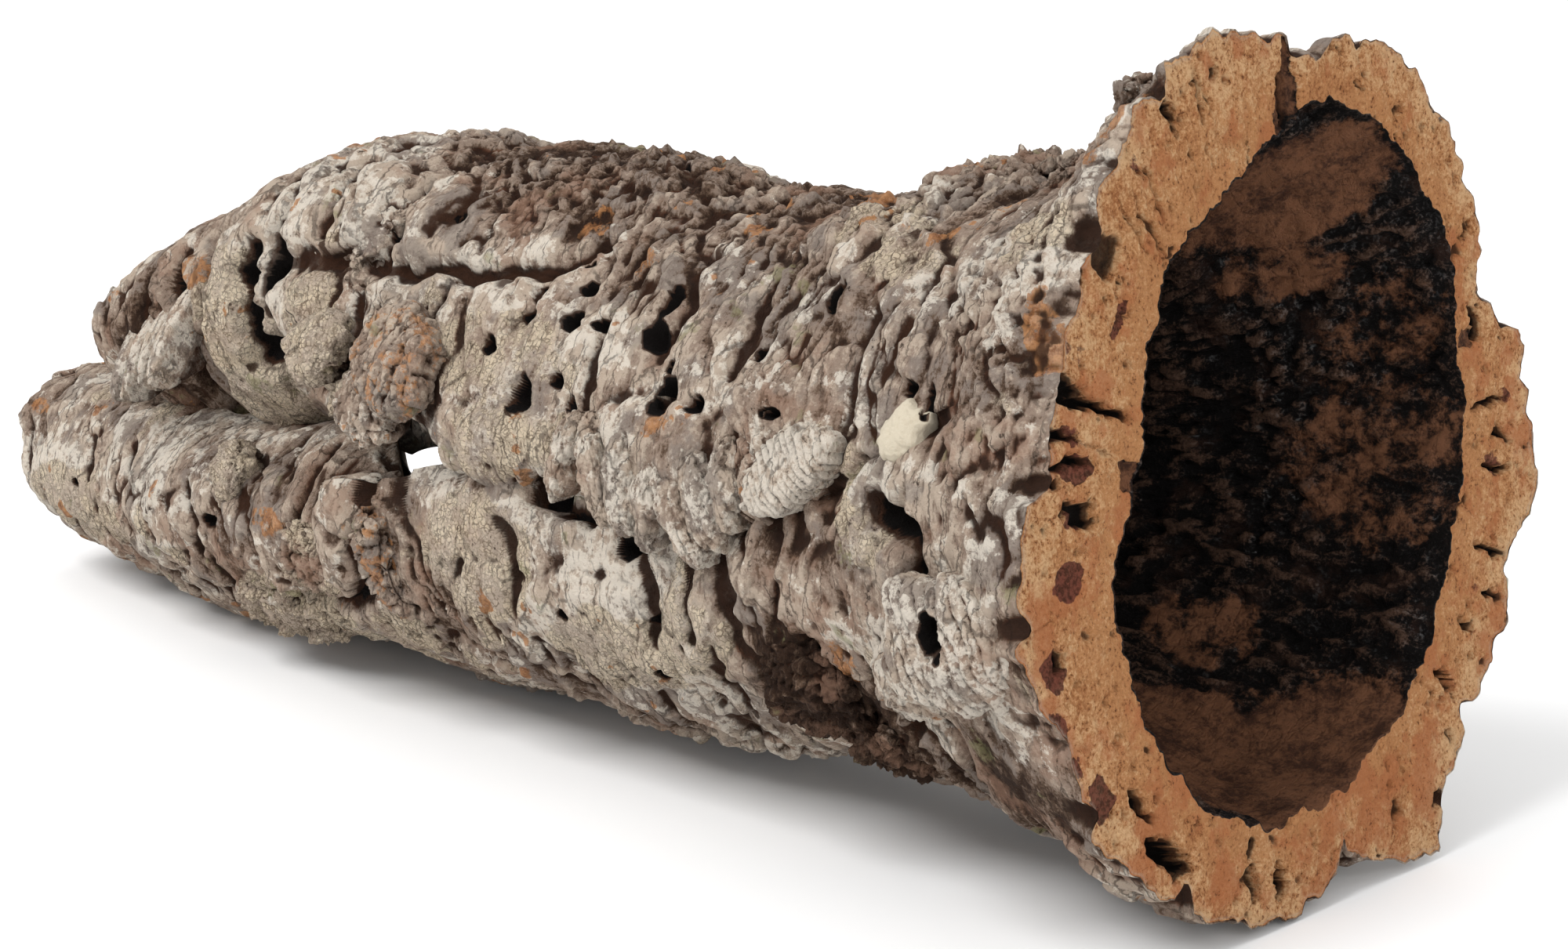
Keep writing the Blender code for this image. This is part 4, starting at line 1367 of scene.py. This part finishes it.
@dataclass(frozen=True)
class BarkFinish:
    """Weathered cork bark, with its sawn face and its dark hollow, as one material."""

    brown: tuple = linear(64, 46, 35)
    dark: tuple = linear(112, 90, 74)
    grey: tuple = linear(164, 143, 127)
    pale: tuple = linear(206, 187, 168)
    white: tuple = linear(246, 236, 221)
    rosy: tuple = linear(168, 130, 108)
    slate: tuple = linear(136, 129, 124)
    crust: tuple = linear(232, 214, 186)
    crust_line: tuple = linear(104, 84, 64)
    cream: tuple = linear(186, 176, 156)
    # the darkest bark colour: dark specks and hairline cracks, and painted shade in cavities
    dirt_and_shade: tuple = linear(50, 35, 27)
    # painted shade: the darkest colour, deep in insect holes and cracks
    hole_shade: tuple = linear(12, 9, 8)
    # dark brown round holes and cracks: torn cork's colour, and partly painted shade
    torn: tuple = linear(66, 42, 29)
    moss: tuple = linear(150, 146, 104)
    rust: tuple = linear(140, 84, 56)
    chip: tuple = linear(200, 142, 92)
    chip_dark: tuple = linear(150, 96, 58)
    tan: tuple = linear(208, 148, 98)
    tan_dark: tuple = linear(166, 104, 62)
    tan_light: tuple = linear(238, 194, 146)
    tan_red: tuple = linear(196, 122, 78)
    speck: tuple = linear(86, 50, 34)
    stain: tuple = linear(124, 68, 56)
    stain_dark: tuple = linear(66, 36, 30)
    char: tuple = linear(15, 11, 10)
    char_grey: tuple = linear(92, 68, 54)
    earth: tuple = linear(138, 94, 68)
    earth_dark: tuple = linear(78, 52, 40)

    def material(self) -> bpy.types.Material:
        """Builds the nodes: colours picked by the mesh's masks, with painted shade and highlight, and by
        fine noise, and fine bump.
        """
        material = bpy.data.materials.new("weathered_cork")
        material.use_nodes = True
        nodes = Nodes(material)
        shader = material.node_tree.nodes["Principled BSDF"]
        metres = nodes.add("ShaderNodeTexCoord", {}, {}, "Object")
        place = nodes.stretched(metres, (1000.0, 1000.0, 1000.0))
        grain = nodes.stretched(metres, (130.0, 1000.0, 1000.0))
        ring = nodes.stretched(metres, (1000.0, 260.0, 260.0))
        cloud = nodes.noise(place, 10.0, 5.0, 0.62)
        fine = nodes.noise(place, 2.4, 8.0, 0.74)
        blot = nodes.noise(place, 5.5, 7.0, 0.66)
        hue = nodes.noise(place, 17.0, 4.0, 0.55)
        streak = nodes.noise(grain, 1.4, 5.0, 0.65)
        band = nodes.noise(ring, 1.3, 5.0, 0.65)
        swirl = nodes.add("ShaderNodeTexNoise", {}, {"Vector": place, "Scale": 0.8, "Detail": 4.0}, 1)
        bent = {0: swirl, 1: (1.9, 1.9, 1.9), 2: place}
        swirled = nodes.add("ShaderNodeVectorMath", {"operation": "MULTIPLY_ADD"}, bent)
        crackle = nodes.cracks(swirled, 1.25)
        hairline = nodes.cracks(nodes.stretched(swirled, (0.7, 0.18, 0.18)), 2.6)
        gritty = nodes.noise(place, 0.75, 5.0, 0.7)

        tone, crust, fresh = nodes.mask("tone"), nodes.mask("crust"), nodes.mask("fresh")
        cavity, crest, pit = nodes.mask("cavity"), nodes.mask("crest"), nodes.mask("pit")
        hollow, sawn, stain = nodes.mask("hollow"), nodes.mask("sawn"), nodes.mask("stain")
        earth, edge, cream = nodes.mask("earth"), nodes.mask("edge"), nodes.mask("cream")

        micro = (fine - 0.5) * 1.1 + (streak - 0.5) * 0.5 + (band - 0.5) * 0.9 + (gritty - 0.5) * 0.9
        # crest * 0.3 is a painted highlight on crests; cavity * 0.5 is painted shade in cavities
        shade = tone + (cloud - 0.5) * 1.5 + micro + crest * 0.3 - cavity * 0.5 + 0.06
        bark = nodes.mix(shade.step(-0.45, -0.05), self.dirt_and_shade, self.brown)
        bark = nodes.mix(shade.step(-0.05, 0.25), bark, self.dark)
        bark = nodes.mix(shade.step(0.18, 0.45), bark, self.grey)
        bark = nodes.mix(shade.step(0.50, 0.85), bark, self.pale)
        rosy = (hue + (fine - 0.5) * 0.3).step(0.54, 0.66)
        bark = nodes.mix(rosy * 0.5, bark, self.rosy)
        cool = (hue + (cloud - 0.5) * 0.5).step(0.50, 0.40) * shade.step(0.1, 0.5)
        bark = nodes.mix(cool * 0.5, bark, self.slate)
        lichen = (blot + (tone - 0.5) * 0.4 + crest * 0.05).step(0.565, 0.615) * fine.step(0.40, 0.50)
        bark = nodes.mix(lichen * 0.78, bark, self.white)
        crusty = (crust + (cloud - 0.5) * 0.9 + (fine - 0.5) * 0.5).step(0.44, 0.60)
        lines = crackle.step(0.16, 0.03) * fine.step(0.40, 0.56)
        crust_colour = nodes.mix((fine + (cloud - 0.5)).step(0.36, 0.62), self.pale, self.crust)
        crust_colour = nodes.mix(lines * 0.8, crust_colour, self.crust_line)
        crust_colour = nodes.mix(fine.step(0.42, 0.33) * 0.7, crust_colour, self.dark)
        bark = nodes.mix(crusty * 0.8, bark, crust_colour)
        bark = nodes.mix(cream * 0.92, bark, self.cream)
        mossy = (nodes.noise(place, 15.0, 6.0) + (fine - 0.5) * 0.25).step(0.635, 0.69)
        bark = nodes.mix(mossy * (1 - cream) * 0.55, bark, self.moss)
        rusty = (cavity * 0.7 + (cloud - 0.5) * 1.2 + (fine - 0.5) * 0.9).step(0.30, 0.60)
        bark = nodes.mix(rusty * (1 - cream) * 0.7, bark, self.rust)
        chipped = (fresh * 0.95 + (blot - 0.5) * 1.6 + (fine - 0.5)).step(0.50, 0.64)
        bark = nodes.mix(chipped * 0.85, bark, nodes.mix(fine.step(0.4, 0.6), self.chip_dark, self.chip))
        bark = nodes.mix(band.step(0.44, 0.34) * (1 - cream) * 0.55, bark, self.dark)
        hairs = hairline.step(0.05, 0.01) * cloud.step(0.44, 0.56) * (1 - cream)
        bark = nodes.mix(hairs * 0.6, bark, self.dirt_and_shade)
        bark = nodes.mix(fine.step(0.40, 0.32) * (1 - cream * 0.7) * 0.85, bark, self.dirt_and_shade)
        # painted shade: cavities darkened to the darkest bark colour
        bark = nodes.mix((cavity + (fine - 0.5) * 0.7).step(0.16, 0.80) * 0.93, bark, self.dirt_and_shade)

        sawn_shade = (cloud - 0.5) * 0.9 + (fine - 0.5) * 1.2 + (gritty - 0.5) * 1.6 + 0.5
        cork = nodes.mix(sawn_shade.step(0.05, 0.55), self.tan_dark, self.tan)
        cork = nodes.mix((sawn_shade + edge * 0.35).step(0.60, 1.05), cork, self.tan_light)
        cork = nodes.mix((hue + (blot - 0.5) * 0.8).step(0.46, 0.62) * 0.75, cork, self.tan_red)
        cork = nodes.mix((gritty + (fine - 0.5) * 0.5).step(0.40, 0.33) * 0.7, cork, self.speck)
        stained = (stain + (blot - 0.5) * 1.1 + (fine - 0.5) * 0.8).step(0.42, 0.58)
        wood = nodes.mix((streak + (gritty - 0.5)).step(0.35, 0.65), self.stain_dark, self.stain)
        cork = nodes.mix(stained * 0.92, cork, wood)
        cork = nodes.mix((edge + (fine - 0.5) * 0.06).step(0.93, 1.0) * 0.6, cork, self.pale)
        colour = nodes.mix(sawn.step(0.4, 0.6), bark, cork)
        # grey specks from noise, with a painted highlight on crests and painted shade in cavities
        charred = (fine + crest * 0.3 - cavity * 0.3 + (gritty - 0.5) * 1.1).step(0.52, 0.86)
        burnt = nodes.mix(charred, self.char, self.char_grey)
        soily = (fine + (cloud - 0.5) + (gritty - 0.5) * 0.5).step(0.3, 0.65)
        soil = nodes.mix(soily, self.earth_dark, self.earth)
        earthy = (earth + (cloud - 0.5) * 1.4 + (fine - 0.5)).step(0.30, 0.64)
        inside = nodes.mix(earthy, nodes.mix(cloud.step(0.50, 0.66) * 0.35, burnt, self.earth_dark), soil)
        colour = nodes.mix(hollow.step(0.4, 0.6), colour, inside)
        # painted shade in holes and cracks: brown at their edges, darkest deeper in
        colour = nodes.mix((pit + (fine - 0.5) * 0.5).step(0.25, 0.55) * 0.9, colour, self.torn)
        colour = nodes.mix((pit + (fine - 0.5) * 0.4).step(0.60, 0.86) * 0.97, colour, self.hole_shade)
        material.node_tree.links.new(colour.socket, shader.inputs["Base Color"])

        calm = 1 - cream * 0.75
        relief = ((fine - 0.5) * 2.4 + (gritty - 0.5) * 1.1 + (band - 0.5) + (blot - 0.5) * 1.2) * calm
        relief = relief - crackle.step(0.12, 0.0) * crusty * 0.3 - hairs * 0.5
        bump = nodes.add("ShaderNodeBump", {}, {"Strength": 1.0, "Distance": MM, "Height": relief})
        material.node_tree.links.new(bump.socket, shader.inputs["Normal"])
        gloss = 0.95 - hollow * (1 - earthy) * 0.3
        material.node_tree.links.new(gloss.socket, shader.inputs["Roughness"])
        glint = hollow * (1 - earthy) * (gritty + (fine - 0.5) * 0.6).step(0.50, 0.62) * 0.5
        material.node_tree.links.new(glint.socket, shader.inputs["Coat Weight"])
        shader.inputs["Coat Roughness"].default_value = 0.4
        shader.inputs["Specular IOR Level"].default_value = 0.12
        return material


# --- floor, lights and camera -----------------------------------------------------------------------


@dataclass(frozen=True)
class Studio:
    """A pale floor, soft lights and the camera."""

    floor_radius: float = 9.0
    floor_sides: int = 96
    floor_shade: float = 0.86
    floor_roughness: float = 0.9
    camera_place: tuple[float, float, float] = (0.55360, -0.52660, 0.23580)
    camera_azimuth: float = 43.5
    camera_elevation: float = 13.5
    lens: float = 80.0
    sensor_width: float = 36.0
    nearest: float = 0.01  # m, where the camera's view starts
    surroundings: float = 0.8  # strength of the white light from all around
    aim: tuple[float, float, float] = (0.0, 0.0, 0.08)  # what the lights face, in metres
    # Soft boxes: name, place, side in metres and power in watts.
    lights: tuple[tuple, ...] = (
        ("key_light", (-0.2, -1.6, 1.9), 1.2, 51.0),
        ("side_light", (1.9, -0.9, 0.9), 1.4, 14.0),
        ("back_light", (-0.6, 1.6, 1.5), 1.6, 12.0),
    )

    def floor(self) -> None:
        """A wide flat disc just under the bark."""
        disc = {"vertices": self.floor_sides, "radius": self.floor_radius, "fill_type": "NGON"}
        bpy.ops.mesh.primitive_circle_add(**disc)
        floor = bpy.context.object
        floor.name = "floor"
        material = bpy.data.materials.new("pale_floor")
        material.use_nodes = True
        shader = material.node_tree.nodes["Principled BSDF"]
        shader.inputs["Base Color"].default_value = (*(self.floor_shade,) * 3, 1.0)
        shader.inputs["Roughness"].default_value = self.floor_roughness
        floor.data.materials.append(material)

    def light(self, name: str, place: tuple, size: float, power: float) -> None:
        """A square soft box that faces the aim.

        Args:
            name: the light's name.
            place: where it is, in metres.
            size: its side, in metres.
            power: its power, in watts.
        """
        lamp = bpy.data.lights.new(name, "AREA")
        lamp.size, lamp.energy = size, power
        holder = bpy.data.objects.new(name, lamp)
        holder.location = place
        heading = np.array(place) - np.array(self.aim)
        down = math.acos(heading[2] / np.linalg.norm(heading))
        holder.rotation_euler = (down, 0.0, math.atan2(heading[1], heading[0]) + math.pi / 2)
        bpy.context.scene.collection.objects.link(holder)

    def build(self) -> None:
        """Makes the floor, the lights, the pale surroundings and the camera."""
        self.floor()
        for row in self.lights:
            self.light(*row)
        world = bpy.data.worlds.new("pale_room")
        world.use_nodes = True
        background = world.node_tree.nodes["Background"]
        background.inputs["Color"].default_value = (1.0, 1.0, 1.0, 1.0)
        background.inputs["Strength"].default_value = self.surroundings
        bpy.context.scene.world = world
        lens = bpy.data.cameras.new("camera")
        lens.lens, lens.sensor_width = self.lens, self.sensor_width
        lens.clip_start = self.nearest
        camera = bpy.data.objects.new("camera", lens)
        camera.location = self.camera_place
        down = math.radians(90 - self.camera_elevation)
        camera.rotation_euler = (down, 0.0, math.radians(self.camera_azimuth))
        bpy.context.scene.collection.objects.link(camera)
        bpy.context.scene.camera = camera
        bpy.context.scene.view_settings.view_transform = "Standard"


def main() -> None:
    """Builds the bark's pieces, dresses them, and sets the stage."""
    logging.basicConfig(level=logging.INFO, format="%(message)s")
    finish = BarkFinish().material()
    axis, bark = Axis(), Bark()
    Trunk(Outline(), bark, axis).build(finish)
    for level in Level:
        Limb(level, bark, axis).build(finish)
    for growth in (*GROWTHS, *end_plates(), *seam_flaps()):
        growth.build(axis, bark, finish)
    Studio().build()


if __name__ == "__main__":
    main()
